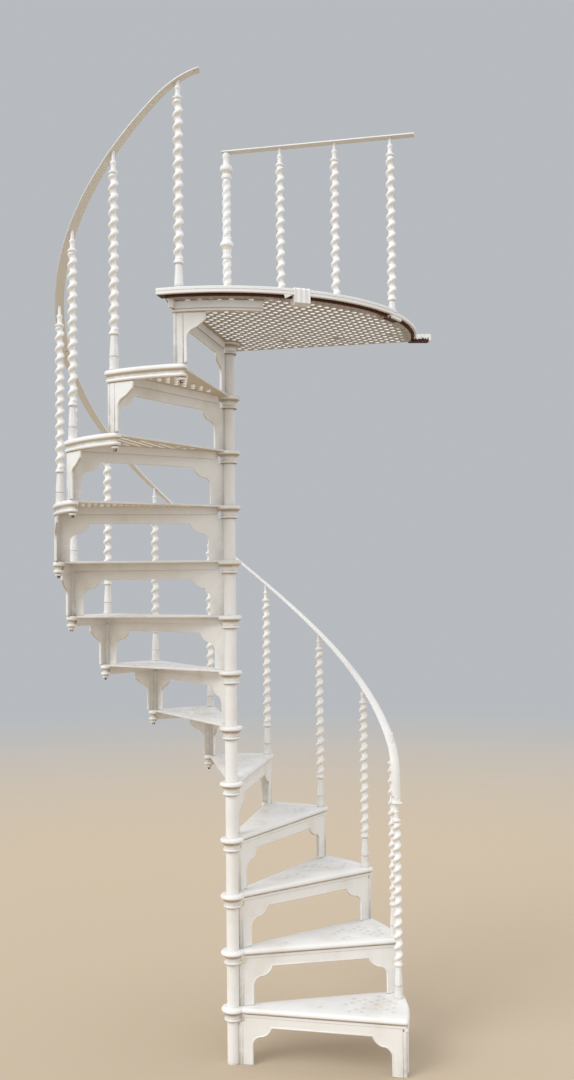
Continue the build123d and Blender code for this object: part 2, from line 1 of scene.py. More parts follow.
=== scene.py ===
# %% [markdown]
# # A cast-iron spiral staircase
#
# Twelve pierced treads and a quarter landing are threaded on one slim column. Each tread carries the
# next riser, an open arched frame, and one twisted baluster, and a thin wrought bar runs over them all.
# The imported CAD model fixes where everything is. This lesson gives each casting its moulded edges, its
# piercing, its twist and its old white paint, and it works out every surface as whole arrays of points.

import bpy
import numpy as np
from mathutils import Euler, Matrix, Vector
from mathutils.geometry import delaunay_2d_cdt


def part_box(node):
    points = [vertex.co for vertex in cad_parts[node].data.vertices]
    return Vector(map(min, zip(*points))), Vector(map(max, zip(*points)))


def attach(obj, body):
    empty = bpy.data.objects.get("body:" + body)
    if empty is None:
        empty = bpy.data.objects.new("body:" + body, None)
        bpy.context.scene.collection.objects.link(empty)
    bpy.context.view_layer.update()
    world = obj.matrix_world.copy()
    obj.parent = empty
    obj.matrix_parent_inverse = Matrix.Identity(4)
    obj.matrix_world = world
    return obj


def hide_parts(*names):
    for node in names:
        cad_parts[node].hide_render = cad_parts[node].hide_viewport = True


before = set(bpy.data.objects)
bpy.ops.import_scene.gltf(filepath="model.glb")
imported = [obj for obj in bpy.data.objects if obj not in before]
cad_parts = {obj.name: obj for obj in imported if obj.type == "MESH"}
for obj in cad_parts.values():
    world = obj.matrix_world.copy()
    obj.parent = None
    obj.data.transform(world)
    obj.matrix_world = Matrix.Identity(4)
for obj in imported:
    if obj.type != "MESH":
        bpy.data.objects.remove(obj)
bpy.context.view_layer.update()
print("nodes from the CAD:", len(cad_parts))

# %% [markdown]
# ## Setting out
#
# A stair like this is made from a few repeated castings, so a few numbers place everything: the rise,
# the angle of one tread, the radius, and the circle on which the balusters stand. They could be measured
# from the CAD's boxes, but named here they read like the founder's own list. All lengths are in
# millimetres and turn into Blender's metres in one place, where a mesh is made.

# %% Sizes that place the castings
MM = 0.001
TREADS = 12
STEP_ANGLE = 22.5
RISE = 218.0
RADIUS = 686.0
COLUMN_RADIUS = 24.5
BALUSTER_CIRCLE = 658.0
BALUSTER_HEIGHT = 772.0
LANDING_TURN = TREADS * STEP_ANGLE
LANDING_LEVEL = (TREADS + 1) * RISE
print("landing level", LANDING_LEVEL, "mm, turn of the landing's front", LANDING_TURN, "degrees")

# %% [markdown]
# ## The camera
#
# The photograph was taken standing up, about four metres from the column and a little to its right.
# The place was found by fitting a pinhole camera to the collars, the tread corners and the baluster
# ends. A lens of 35 mm on a 36 mm sensor gives the photograph's field over its longer side.

# %% Camera at the photograph's place
LENS = 35.4
SENSOR = 36.0
STANDPOINT = (1.086, -4.083, 1.889)
TILT_UP, TURN_LEFT, ROLL = np.radians([2.05, 11.79, -0.60])


def in_scene(name, data):
    """A new object with this data, linked to the scene."""
    made = bpy.data.objects.new(name, data)
    bpy.context.scene.collection.objects.link(made)
    return made


camera_data = bpy.data.cameras.new("photo_camera")
camera_data.sensor_width = SENSOR
camera_data.lens = LENS
camera = in_scene("photo_camera", camera_data)
aim = Euler((np.pi / 2 + TILT_UP, 0.0, TURN_LEFT)).to_matrix().to_4x4()
camera.matrix_world = Matrix.Translation(STANDPOINT) @ aim @ Matrix.Rotation(ROLL, 4, "Z")
bpy.context.scene.camera = camera
print("camera at", tuple(round(c, 3) for c in camera.matrix_world.translation))

# %% [markdown]
# ## Colours and nodes
#
# Paint colours are easiest to read as the hex values a screen shows, but a shader works in linear
# light, so one function converts them. A second function adds a node with its settings and links.

# %% Hex colours to linear, and one way to add a node
def linear(hex_colour):
    """sRGB hex to linear RGBA: c / 12.92 below 0.04045, else ((c + 0.055) / 1.055) to the power 2.4."""
    srgb = np.array([int(hex_colour[i:i + 2], 16) / 255 for i in (1, 3, 5)])
    value = np.where(srgb <= 0.04045, srgb / 12.92, ((srgb + 0.055) / 1.055) ** 2.4)
    return (*value.tolist(), 1.0)


def empty_tree(owner):
    """The node tree of a material or a world, cleared of what it starts with."""
    owner.use_nodes = True
    owner.node_tree.nodes.clear()
    return owner.node_tree


def add(tree, kind, inputs=None, **settings):
    """Adds a node, sets its properties, and fills or links its sockets by name or number. A node
    given for a socket is linked by its first output."""
    made = tree.nodes.new(kind)
    for name, value in settings.items():
        setattr(made, name, value)
    for key, value in (inputs or {}).items():
        value = value.outputs[0] if isinstance(value, bpy.types.Node) else value
        if isinstance(value, bpy.types.NodeSocket):
            tree.links.new(value, made.inputs[key])
        else:
            made.inputs[key].default_value = value
    return made


print("white paint in linear light:", [round(c, 3) for c in linear("#EBEAE6")])

# %% [markdown]
# ## The stage
#
# A pale floor and an even pale background let white paint be seen by its shading. The world lights the
# stair like an overcast sky, and one wide soft sun gives the roundings a side. The background's colour
# shows only to the camera and in reflections, so it adds nothing to the light. Far from the stair the
# floor turns into that same background, which hides the horizon.

# %% Floor, sky and soft sun
BACKGROUND = linear("#B7BBBF")
SKY_LIGHT, SKY_STRENGTH = linear("#F8F9FB"), 1.05
SUN_STRENGTH = 1.3
SUN_WIDTH = np.radians(35.0)
SUN_LEAN = tuple(np.radians([48.0, -14.0, -28.0]))
FLOOR_COLOUR = linear("#C0B09A")
FLOOR_REACH = 60.0
FADE_START, FADE_END = 2.5, 12.0

world = bpy.data.worlds.new("overcast")
bpy.context.scene.world = world
tree = empty_tree(world)
ray = add(tree, "ShaderNodeLightPath").outputs
seen = ray["Is Camera Ray"]
for other in ("Is Glossy Ray", "Is Transmission Ray"):
    seen = add(tree, "ShaderNodeMath", {0: seen, 1: ray[other]}, operation="ADD", use_clamp=True)
light = add(tree, "ShaderNodeBackground", {"Color": SKY_LIGHT, "Strength": SKY_STRENGTH})
shown = add(tree, "ShaderNodeBackground", {"Color": BACKGROUND, "Strength": 1.0})
choice = add(tree, "ShaderNodeMixShader", {0: seen, 1: light, 2: shown})
add(tree, "ShaderNodeOutputWorld", {"Surface": choice})

sun_data = bpy.data.lights.new("soft_sun", "SUN")
sun_data.energy = SUN_STRENGTH
sun_data.angle = SUN_WIDTH
in_scene("soft_sun", sun_data).rotation_euler = SUN_LEAN

floor_paint = bpy.data.materials.new("matt_floor")
tree = empty_tree(floor_paint)
place = add(tree, "ShaderNodeTexCoord").outputs["Object"]
away = add(tree, "ShaderNodeVectorMath", {0: place}, operation="LENGTH").outputs["Value"]
near = add(tree, "ShaderNodeBsdfDiffuse", {"Color": FLOOR_COLOUR})
far = add(tree, "ShaderNodeEmission", {"Color": BACKGROUND, "Strength": 1.0})
fade = add(tree, "ShaderNodeMapRange", {"Value": away, "From Min": FADE_START, "From Max": FADE_END},
           interpolation_type="SMOOTHSTEP")
choice = add(tree, "ShaderNodeMixShader", {0: fade, 1: near, 2: far})
add(tree, "ShaderNodeOutputMaterial", {"Surface": choice})

floor_mesh = bpy.data.meshes.new("floor")
corners = FLOOR_REACH * np.array([(-1, -1, 0), (1, -1, 0), (1, 1, 0), (-1, 1, 0)])
floor_mesh.from_pydata(corners.tolist(), [], [(0, 1, 2, 3)])
floor_mesh.materials.append(floor_paint)
floor = in_scene("floor", floor_mesh)
bpy.context.scene.view_settings.view_transform = "Standard"
print("stage ready")

# %% [markdown]
# ## Old white gloss paint on cast iron
#
# Decades of gloss paint lie thick on the castings: white and still shiny where rain washes it, cream
# and dull where it faces down, grey in the hollows, and broken by rust where two castings meet. The
# cream on downward faces is painted shade, standing in for warm light bounced up from the ground, and
# the grey in the hollows is dirt together with painted shade. A picture could be laid over it, but a
# pattern worked out from the place in space covers every casting without seams. Each mesh also carries
# two marks on its vertices: wear, where joints rust, and a mark of dirt and painted shade, where dirt
# stays and where hollows and the undersides of mouldings are painted darker as shade. Gloss paint
# reflects like a plastic (IOR 1.47). Its roughness is about 0.3 where it still shines and near 0.5
# where it has weathered, and bare rust is rougher.

# %% The paint
PAINT_IOR = 1.47
# Sizes of the patterns: patches of yellow, clouds of dirt, grains of rust, rain streaks, brushed swells.
PATCH, CLOUD, GRAIN, STREAK, SWELL = 160.0, 35.0, 7.0, 9.0, 14.0
# The first is rain-streaked paint, the grey is dirt together with painted shade in hollows, and the last is
# old rust.
WASHED, DIRT_AND_SHADE_GREY, OLD_RUST = linear("#CFC8B8"), linear("#8F8B80"), linear("#4A2A1C")


def old_paint(name, slot, white, cream, rust="#7A4A2E", rusting=1.0, patchy=0.35):
    """White paint that turns to cream on faces that look down, as a painted warm shade, to grey by the
    mark of dirt and painted shade, and to rust where wear and a fine noise add up past a level. It
    comes with the name of a CAD slot."""
    material = bpy.data.materials.new(name)
    tree = empty_tree(material)
    place = add(tree, "ShaderNodeTexCoord").outputs["Object"]
    normal = add(tree, "ShaderNodeNewGeometry").outputs["Normal"]
    up = add(tree, "ShaderNodeSeparateXYZ", {0: normal}).outputs["Z"]
    wear, dirt_and_shade = (add(tree, "ShaderNodeAttribute", attribute_name=mark).outputs["Fac"]
                   for mark in ("wear", "dirt_and_shade"))
    drawn = add(tree, "ShaderNodeMapping", {"Vector": place, "Scale": (1.0, 1.0, 0.10)})
    broad, cloudy, fine, streaks, swells = (
        add(tree, "ShaderNodeTexNoise", {"Vector": at, "Scale": 1.0 / (size * MM), "Detail": detail})
        for at, size, detail in ((place, PATCH, 3.0), (place, CLOUD, 3.0), (place, GRAIN, 4.0),
                                 (drawn, STREAK, 2.0), (place, SWELL, 2.0)))
    eaten = add(tree, "ShaderNodeMath", {0: wear, 1: 0.52, 2: -0.42}, operation="MULTIPLY_ADD")
    edge = add(tree, "ShaderNodeMath", {0: eaten, 1: fine}, operation="ADD", use_clamp=True)
    # Painted shade: down marks the faces that look down, which take the cream colour as a painted warm shade
    # in place of light bounced up from the ground.
    down, patches, washed, dirtied_and_shaded, specks, spread, worn = (
        add(tree, "ShaderNodeMapRange", {"Value": value, "From Min": low, "From Max": high},
            interpolation_type="SMOOTHSTEP")
        for value, low, high in ((up, -0.15, -0.75), (broad, 0.45, 0.80), (streaks, 0.58, 0.85),
                                 (cloudy, 0.20, 0.55), (fine, 0.72, 0.77), (broad, 0.52, 0.64),
                                 (edge, 0.46, 0.60)))

    # Each row combines two values, or results of rows above it, and is kept between 0 and 1.
    result = {"rough": add(tree, "ShaderNodeMapRange", {"Value": cloudy, "To Min": 0.26, "To Max": 0.46})}
    # The first two rows join random yellowed patches with the painted shade on down faces; the dirt rows
    # darken by the mark of dirt and painted shade.
    for step, operation, first, second in (
            ("aged_and_shaded", "MULTIPLY", patches, patchy), ("aged_and_shaded", "MAXIMUM", down, "aged_and_shaded"),
            ("washed", "MULTIPLY", washed, 0.14), ("dirtied_and_shaded", "MULTIPLY", dirt_and_shade, dirtied_and_shaded),
            ("bare", "MULTIPLY", specks, spread), ("bare", "MULTIPLY", "bare", 0.7 * rusting),
            ("bare", "MAXIMUM", "bare", worn), ("dull", "MULTIPLY", "bare", 0.45),
            ("rough", "ADD", "rough", "dull"), ("grain", "MULTIPLY", fine, 0.25),
            ("height", "ADD", swells, "grain")):
        pair = (result[value] if isinstance(value, str) else value for value in (first, second))
        result[step] = add(tree, "ShaderNodeMath", dict(enumerate(pair)), operation=operation,
                           use_clamp=True)

    rusts = add(tree, "ShaderNodeMix", {0: cloudy, 6: linear(rust), 7: OLD_RUST}, data_type="RGBA")
    colour = linear(white)
    for amount, over in (("aged_and_shaded", linear(cream)), ("washed", WASHED), ("dirtied_and_shaded", DIRT_AND_SHADE_GREY),
                         ("bare", rusts.outputs[2])):
        layers = {0: result[amount], 6: colour, 7: over}
        colour = add(tree, "ShaderNodeMix", layers, data_type="RGBA").outputs[2]
    bump = add(tree, "ShaderNodeBump", {"Strength": 0.45, "Distance": 0.0012, "Height": result["height"]})
    surface = add(tree, "ShaderNodeBsdfPrincipled", {"Base Color": colour, "Roughness": result["rough"],
                                                     "Normal": bump, "IOR": PAINT_IOR})
    add(tree, "ShaderNodeOutputMaterial", {"Surface": surface})
    return material, slot


# On each paint the second colour goes on faces that look down, as a painted warm shade in place of light
# bounced up from the ground.
tread_paint = old_paint("gloss_paint_on_treads", "tread_paint", "#F0EFED", "#BFAF94")
riser_paint = old_paint("gloss_paint_on_risers", "riser_paint", "#EEEDEA", "#C6B9A2")
baluster_paint = old_paint("gloss_paint_on_balusters", "baluster_paint", "#F1F0EE", "#DAD2C2", rusting=0.4)
rail_paint = old_paint("gloss_paint_on_wrought_bar", "rail_paint", "#EFEEEC", "#CFC7B8", rusting=0.6)
# The landing's underside, facing down, is painted a dark tan as painted shade, which keeps it dark against
# the white walls of its holes.
landing_paint = old_paint("gloss_paint_painted_shade_below", "tread_paint", "#F0EFED", "#968873", rust="#5E3022")
strip_paint = old_paint("gloss_paint_over_red_lead", "rail_paint", "#F0EFED", "#CFC7B8", rust="#341417",
                        rusting=0.6, patchy=0.0)
print("paints:", [m.name for m in bpy.data.materials])

# %% [markdown]
# ## Sheets, rings and turned shapes
#
# Nearly every surface here is a sheet: a grid of points given by two parameters, such as the place
# along an edge and the place round its moulding. A shell is then three things: its points, its faces
# and the two marks on its points. Shells are joined before they become a mesh, and where their edges
# share places the doubles are merged, so a casting comes out closed.

# %% Points in plan, faces of a grid, and shells
UP = np.array([0.0, 0.0, 1.0])
ON_AXIS = (0, 0, 1)


def heading(t):
    """Unit vectors in plan at angles in radians: (cos t, sin t)."""
    return np.stack([np.cos(t), np.sin(t)], -1)


def spun(plan, turn):
    """Points in plan turned about the column by an angle a in degrees:
    (x cos a - y sin a, x sin a + y cos a)."""
    a = np.radians(turn)
    x, y = plan[..., 0], plan[..., 1]
    return np.stack([x * np.cos(a) - y * np.sin(a), x * np.sin(a) + y * np.cos(a)], -1)


def lifted(plan, level):
    """Points in plan given a height: one level for all, or an array that fits the points."""
    return np.concatenate([plan, np.broadcast_to(level, plan.shape[:-1])[..., None]], -1)


def grid_faces(rows, columns):
    """Four-sided faces between neighbouring rows and columns, with the last column next to the first.
    They face outwards where the rows go down and the columns go round anticlockwise."""
    row = np.arange(rows - 1)[:, None]
    column = np.arange(columns)[None, :]
    after = (column + 1) % columns
    corners = [row * columns + column, (row + 1) * columns + column,
               (row + 1) * columns + after, row * columns + after]
    return np.stack(np.broadcast_arrays(*corners), -1).reshape(-1, 4)


def sheet(grid, wear=0.0, dirt_and_shade=0.0):
    """A shell from points in rows and columns, with its marks given for each point or for all."""
    marks = np.zeros(grid.shape[:2] + (2,))
    marks[..., 0] = wear
    marks[..., 1] = dirt_and_shade
    return grid.reshape(-1, 3), [grid_faces(*grid.shape[:2])], marks.reshape(-1, 2)


def joined(*shells):
    """Shells as one: each one's face numbers move on by the points before it."""
    starts = np.cumsum([0] + [len(shell[0]) for shell in shells])
    faces = [block + start for shell, start in zip(shells, starts) for block in shell[1]]
    return np.concatenate([s[0] for s in shells]), faces, np.concatenate([s[2] for s in shells])


def moved(shell, turn=0.0, lift=0.0, shift=(0.0, 0.0)):
    """A shell shifted in plan, turned about the column by an angle in degrees, and lifted."""
    plan = spun(shell[0][:, :2] + shift, turn)
    return lifted(plan, shell[0][:, 2] + lift), shell[1], shell[2]


def with_raised_marks(shell, wear, dirt_and_shade):
    """A shell whose marks are raised to at least this wear and this dirt and painted shade."""
    return shell[0], shell[1], np.maximum(shell[2], np.stack([wear, dirt_and_shade], -1))


def turned(profile, sides=32, centre=(0.0, 0.0), wear=0.0, dirt_and_shade=0.0):
    """A profile of radius and height turned about an upright axis, listed from the top down:
    x = r cos t, y = r sin t, z = height."""
    profile = np.array(profile, float)
    t = np.arange(sides) * 2 * np.pi / sides
    return sheet(lifted(centre + profile[:, :1, None] * heading(t), profile[:, 1:]), wear, dirt_and_shade)


def volume(shell):
    """Volume inside closed shells: a sixth of the sum of p0 . (p1 x p2) over fans of triangles."""
    total = 0.0
    for block in shell[1]:
        for k in range(1, block.shape[1] - 1):
            a, b, c = (shell[0][block[:, i]] for i in (0, k, k + 1))
            total += np.einsum("ij,ij->", a, np.cross(b, c)) / 6
    return total


print("a test drum of radius 10 and height 10:",
      round(volume(turned([(0, 10), (10, 10), (10, 0), (0, 0)], 64)) / 1000, 3), "cubic centimetres")

# %% [markdown]
# A shell becomes an object in one place. There its doubles are merged, edges sharper than 38 degrees
# stay crisp, and the CAD node that the new piece stands for is hidden.

# %% From a shell to a piece
SHARP_ANGLE = np.radians(38.0)
WELD_GAP = 0.00001


def piece(name, shell, paint, node):
    """A shell made a mesh in metres, merged, shaded, parented to the root body, and its CAD node hidden."""
    mesh = bpy.data.meshes.new(name)
    mesh.from_pydata((shell[0] * MM).tolist(), [], [f for block in shell[1] for f in block.tolist()])
    for column, mark in enumerate(("wear", "dirt_and_shade")):
        layer = mesh.attributes.new(mark, "FLOAT", "POINT")
        layer.data.foreach_set("value", shell[2][:, column].astype(np.float32))
    made = in_scene(name, mesh)
    weld = made.modifiers.new("weld", "WELD")
    weld.merge_threshold = WELD_GAP
    merged = bpy.data.meshes.new_from_object(made.evaluated_get(bpy.context.evaluated_depsgraph_get()))
    made.modifiers.clear()
    made.data = merged
    merged.name = name
    merged.validate()
    material, slot = paint
    merged.materials.append(material)
    merged.shade_smooth()
    merged.set_sharp_from_angle(angle=SHARP_ANGLE)
    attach(made, "root")
    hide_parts(node)


print("edges stay sharp from", round(np.degrees(SHARP_ANGLE)), "degrees")

# %% [markdown]
# ## A flat casting with a moulded edge
#
# Treads, risers and the landing are all flat plates whose edges are moulded. One way is to extrude an
# outline and bevel it, but a bevel can't be a roll with a hollow and a bead. So the edge is its own
# profile: at each corner of the outline it says how far in and how far down every line of the moulding
# lies. The first line bounds the top face and the last bounds the underside, and both faces are filled
# with triangles, leaving the round holes open.

# %% Outlines and mitres
def leg(slope, base):
    """The third side of a right triangle: the root of slope^2 - base^2."""
    return np.sqrt(slope ** 2 - base ** 2)


def turn_aside(offset, radius):
    """Angle in degrees at which a point on a circle is an offset to one side: arcsin(offset / radius)."""
    return np.degrees(np.arcsin(offset / radius))


def arc(centre, radius, start, end, count):
    """Points on a circle between two angles in degrees."""
    return centre + radius * heading(np.radians(np.linspace(start, end, count)))


def arc_through(first, middle, last, count=9):
    """Points on the circle through three points, from the first to the last."""
    (ax, ay), (bx, by), (cx, cy) = first, middle, last
    d = 2 * (ax * (by - cy) + bx * (cy - ay) + cx * (ay - by))
    a, b, c = ax * ax + ay * ay, bx * bx + by * by, cx * cx + cy * cy
    ux = (a * (by - cy) + b * (cy - ay) + c * (ay - by)) / d
    uy = (a * (cx - bx) + b * (ax - cx) + c * (bx - ax)) / d
    t0, t1, t2 = (np.degrees(np.arctan2(y - uy, x - ux)) for x, y in (first, middle, last))
    t1, t2 = t0 + (t1 - t0 + 180) % 360 - 180, t0 + (t2 - t0 + 180) % 360 - 180
    if (t1 - t0) * (t2 - t0) < 0:
        t2 += 360 * np.sign(t1 - t0)
    return arc((ux, uy), np.hypot(ax - ux, ay - uy), t0, t2, count)


def mitres(outline):
    """Outward directions at an anticlockwise outline's corners, lengthened so that a shifted copy
    keeps its walls parallel: (a + b) / (1 + a . b), from the normals a and b of the two sides."""
    side = np.roll(outline, -1, 0) - outline
    side /= np.linalg.norm(side, axis=1, keepdims=True)
    ahead = np.stack([side[:, 1], -side[:, 0]], -1)
    behind = np.roll(ahead, 1, 0)
    return (ahead + behind) / (1.0 + (ahead * behind).sum(1, keepdims=True))


def blended(share, first, second):
    """At each corner, a share of the first moulding and the rest of the second."""
    share = share[:, None, None]
    return share * first + (1 - share) * second


print("a quarter circle's middle:", arc_through((1, 0), (0.6, 0.8), (0, 1), 3)[1].round(3))

# %% [markdown]
# The holes are circles of 14 sides. Each one is an edge that the face's triangles keep, and a wall runs
# down from it. A clogged hole is closed by two flat skins of paint instead, one near each face.

# %% Faces with holes, and the casting
HOLE_SIDES = 14
HOLE_MARGIN = 0.94
HOLE_LIP, LIP_TOP, LIP_END = 0.7, 1.2, 3.0
SKIN_SHARE, SKIN_DEPTH, SKIN_LIFT = 0.62, 1.0, 2.5
NO_HOLES = np.zeros((0, 2))


def rings_round(centres, radius):
    """Circles round many centres: an array of centres, sides and plan coordinates."""
    return centres[:, None, :] + radius * heading(np.arange(HOLE_SIDES) * 2 * np.pi / HOLE_SIDES)


def filled(outline, centres, radius):
    """Triangles of a flat face with round holes. The outline and the holes are edges that the
    triangles keep; a triangle whose middle lies in a hole is dropped."""
    count = len(outline)
    edges = [(i, (i + 1) % count) for i in range(count)]
    start = count + np.arange(len(centres))[:, None] * HOLE_SIDES
    rim = np.arange(HOLE_SIDES)[None, :]
    edges += np.stack([start + rim, start + (rim + 1) % HOLE_SIDES], -1).reshape(-1, 2).tolist()
    plan = np.concatenate([outline, rings_round(centres, radius).reshape(-1, 2)])
    points, _, triangles, _, _, _ = delaunay_2d_cdt(plan.tolist(), edges, [], 1, 1e-5)
    points, triangles = np.array(points), np.array(triangles)
    middle = points[triangles].mean(1)
    nearest = np.full(len(middle), np.inf)
    for centre in centres:
        nearest = np.minimum(nearest, np.hypot(*(middle - centre).T))
    triangles = triangles[nearest > HOLE_MARGIN * radius]
    a, b, c = (points[triangles[:, i]] for i in range(3))
    area = (b[:, 0] - a[:, 0]) * (c[:, 1] - a[:, 1]) - (b[:, 1] - a[:, 1]) * (c[:, 0] - a[:, 0])
    triangles[area < 0] = triangles[area < 0][:, ::-1]
    return points, triangles[np.abs(area) > 1e-6]


def level_face(plan, faces, level, looks_up, dirt_and_shade=0.0):
    """A shell of flat faces at one level, looking up or down."""
    marks = np.zeros((len(plan), 2)) + (0.0, dirt_and_shade)
    return lifted(plan, level), [faces if looks_up else faces[:, ::-1]], marks


def hole_walls(centres, rings, dirt_and_shade=0.0):
    """Walls of many round holes: each is carried through rings of radius and level, and they face
    the hole's own axis."""
    plan = np.stack([rings_round(centres, radius) for radius, _ in rings], 1)
    points = lifted(plan, np.array(rings)[:, 1:]).reshape(-1, 3)
    start = np.arange(len(centres))[:, None, None] * len(rings) * HOLE_SIDES
    faces = (grid_faces(len(rings), HOLE_SIDES)[:, ::-1] + start).reshape(-1, 4)
    return points, [faces], np.zeros((len(points), 2)) + (0.0, dirt_and_shade)


def hole_skins(centres, radius, level, looks_up, dirt_and_shade):
    """The paint skins that close clogged holes, each one flat polygon."""
    plan = rings_round(centres, radius).reshape(-1, 2)
    return level_face(plan, np.arange(len(plan)).reshape(-1, HOLE_SIDES), level, looks_up, dirt_and_shade)


def casting(outline, edge, wear=0.0, dirt_and_shade=0.0, holes=NO_HOLES, clogged=False, radius=6.0, flare=0.0):
    """A plate with a moulded edge. Line j of the moulding is the outline shifted in by inset j along
    the mitres and lowered by depth j. Open holes go through and change by the flare on the way down,
    because a pattern needs taper to leave its sand; clogged ones are dimples."""
    edge = np.broadcast_to(edge, (len(outline),) + np.shape(edge)[-2:])
    plan = outline[:, None, :] - mitres(outline)[:, None, :] * edge[..., :1]
    rings = lifted(plan, -edge[..., 1]).transpose(1, 0, 2)
    clogged = np.broadcast_to(clogged, len(holes))
    open_holes, full = holes[~clogged], holes[clogged]
    bottom, below = -edge[0, -1, 1], radius + flare
    shells = [sheet(rings, wear, dirt_and_shade),
              level_face(*filled(rings[0, :, :2], holes, radius), 0.0, True),
              level_face(*filled(rings[-1, :, :2], holes, below), bottom, False)]
    if len(open_holes):
        wall = [(radius, 0.0), (radius - HOLE_LIP, -LIP_TOP), (radius - HOLE_LIP, -LIP_END), (below, bottom)]
        shells.append(hole_walls(open_holes, wall))
    if len(full):
        skin = SKIN_SHARE * radius
        shells += [hole_walls(full, [(radius, 0.0), (skin, -SKIN_DEPTH)], 0.15),
                   hole_skins(full, skin, -SKIN_DEPTH, True, 0.45),
                   hole_walls(full, [(skin, bottom + SKIN_LIFT), (below, bottom)], 0.1),
                   hole_skins(full, skin, bottom + SKIN_LIFT, False, 0.4)]
    return joined(*shells)


square = np.array([(0, 0), (100, 0), (100, 100), (0, 100)], float)
test = casting(square, [(1, 0), (0, 1), (0, 7), (1, 8)], holes=np.array([(50.0, 50.0)]))
print("a test plate with one hole:", round(volume(test) / 1000, 2), "cubic centimetres, near 79")

# %% [markdown]
# ## The treads
#
# A tread is one casting: a pierced plate, a rounded nosing over a flat flange along the front, a
# deeper rim of roll, hollow and bead round the outside, a round boss at the rear corner where the next
# post is bolted down, and the collar that is threaded on the column. The rim runs on round the boss.
# The mouldings have the same number of lines, so at the front corner the nosing can pass into the rim.
# The bead ends at the flange's face, so it comes in late: by the cube of the way round.

# %% The mouldings of a tread, as insets and depths
PLATE = 8.0
ROLL = 22.0
NOSING_REACH = 22.0
NOSING_DEPTH = 36.0
FACE_REACH = 11.0
RIM_DEPTH = 46.0
RIM_WALL = 16.0
REAR_LIP = 12.0
BOSS_RADIUS = 22.0
BOSS_REACH = 36.0
CORNER_ROUND = 12.0

half_round = ROLL / 2 * (1 - heading(np.radians(np.linspace(90, -70, 9))))
flange = NOSING_REACH - FACE_REACH - 1.0
nosing_lines = np.concatenate([
    half_round,
    [(11.0, 22.4), (12.6, 22.8), (12.6, 23.8), (flange + 0.4, 24.2), (flange, 25.0),
     (flange, NOSING_DEPTH - 1.2), (flange + 1.2, NOSING_DEPTH), (16.0, NOSING_DEPTH),
     (NOSING_REACH, NOSING_DEPTH), (NOSING_REACH, PLATE)]])
rim_lines = np.concatenate([
    half_round,
    arc_through(half_round[-1], (10.6, 26.5), (8.5, 31.0), 5)[1:],
    arc_through((7.5, 32.0), (1.5, 38.8), (8.0, RIM_DEPTH), 5)[:-1],
    [(RIM_WALL, RIM_DEPTH), (RIM_WALL, PLATE)]])
boss_lines = rim_lines.copy()
boss_lines[-2:, 0] = BOSS_RADIUS - 2
plain_lines = np.concatenate([[(1.5, 0), (0.4, 0.4), (0, 1.5)],
                              np.linspace((0, 1.5), (0, PLATE - 1.5), len(rim_lines) - 5),
                              [(0.4, PLATE - 0.4), (1.5, PLATE)]])
print("lines in each moulding:", len(nosing_lines), len(rim_lines), len(plain_lines))

# %% [markdown]
# The outline of a tread is drawn at the first riser: out along the nosing, round the stair's curve,
# round the boss, back along the plain rear edge that the next riser covers, and round the collar. Its
# parts stop a little short of each other, so that no two corners fall together. The holes stand in a
# diagonal lattice that leaves a plain border on every side.

# %% Outline of a tread and the place of its holes
COLLAR_SEAT = 35.0
HOLE_ROW = 23.7
HOLE_SPACING = 41.6
HOLE_TOP = 11.6
HOLE_FLARE = -2.4
HOLE_LINES = 41
TREAD_HOLE_START = (4.0, 12.0)
FRONT_BORDER, REAR_BORDER, COLLAR_BORDER, RIM_BORDER = 20.0, 24.0, 96.0, 46.0


def tread_outline():
    """Corners of the outline, and for each the share of nosing, rim, boss and plain edge."""
    bolt = RADIUS - BOSS_RADIUS
    behind = BOSS_REACH - BOSS_RADIUS - REAR_LIP
    boss_turn = STEP_ANGLE + turn_aside(BOSS_REACH - BOSS_RADIUS, bolt)
    boss_end = STEP_ANGLE + 180 + turn_aside(behind, BOSS_RADIUS)
    round_y = CORNER_ROUND - NOSING_REACH
    round_x = leg(RADIUS - CORNER_ROUND, round_y)
    lean = np.degrees(np.arctan2(round_y, round_x))
    front = np.linspace((leg(COLLAR_SEAT, NOSING_REACH), -NOSING_REACH), (round_x - 4, -NOSING_REACH), 8)
    corner = arc((round_x, round_y), CORNER_ROUND, -90, lean, 7)
    outer = arc((0, 0), RADIUS, lean + 0.7, boss_turn - 0.4, 18)
    boss = arc(bolt * heading(np.radians(boss_turn)), BOSS_RADIUS, boss_turn, boss_end, 18)
    rear = np.linspace((bolt - leg(BOSS_RADIUS, behind) - 0.4, REAR_LIP),
                       (leg(COLLAR_SEAT, REAR_LIP), REAR_LIP), 8)
    inner = arc((0, 0), COLLAR_SEAT, STEP_ANGLE + turn_aside(REAR_LIP, COLLAR_SEAT),
                -turn_aside(NOSING_REACH, COLLAR_SEAT), 12)[1:-1]
    parts = [front, corner, outer, boss, spun(rear, STEP_ANGLE), inner]
    nosing, rim, round_boss, plain = np.eye(4)
    late = np.linspace(0, 1, len(corner))[:, None] ** 3
    kinds = [nosing, nosing + late * (rim - nosing), rim, round_boss, plain, plain]
    shares = [np.broadcast_to(kind, (len(part), 4)) for kind, part in zip(kinds, parts)]
    return np.concatenate(parts), np.concatenate(shares)


def lattice(start):
    """Places of holes over more than the whole stair: rows 23.7 mm apart with a hole every 41.6 mm,
    every second row moved on by half of that, and one hole at the start."""
    rows = np.arange(-HOLE_LINES, HOLE_LINES + 1)
    lines, columns = np.meshgrid(rows, rows)
    y = (columns + 0.5 * (lines % 2)) * HOLE_SPACING
    return np.stack([lines.ravel() * HOLE_ROW, y.ravel()], -1) + start


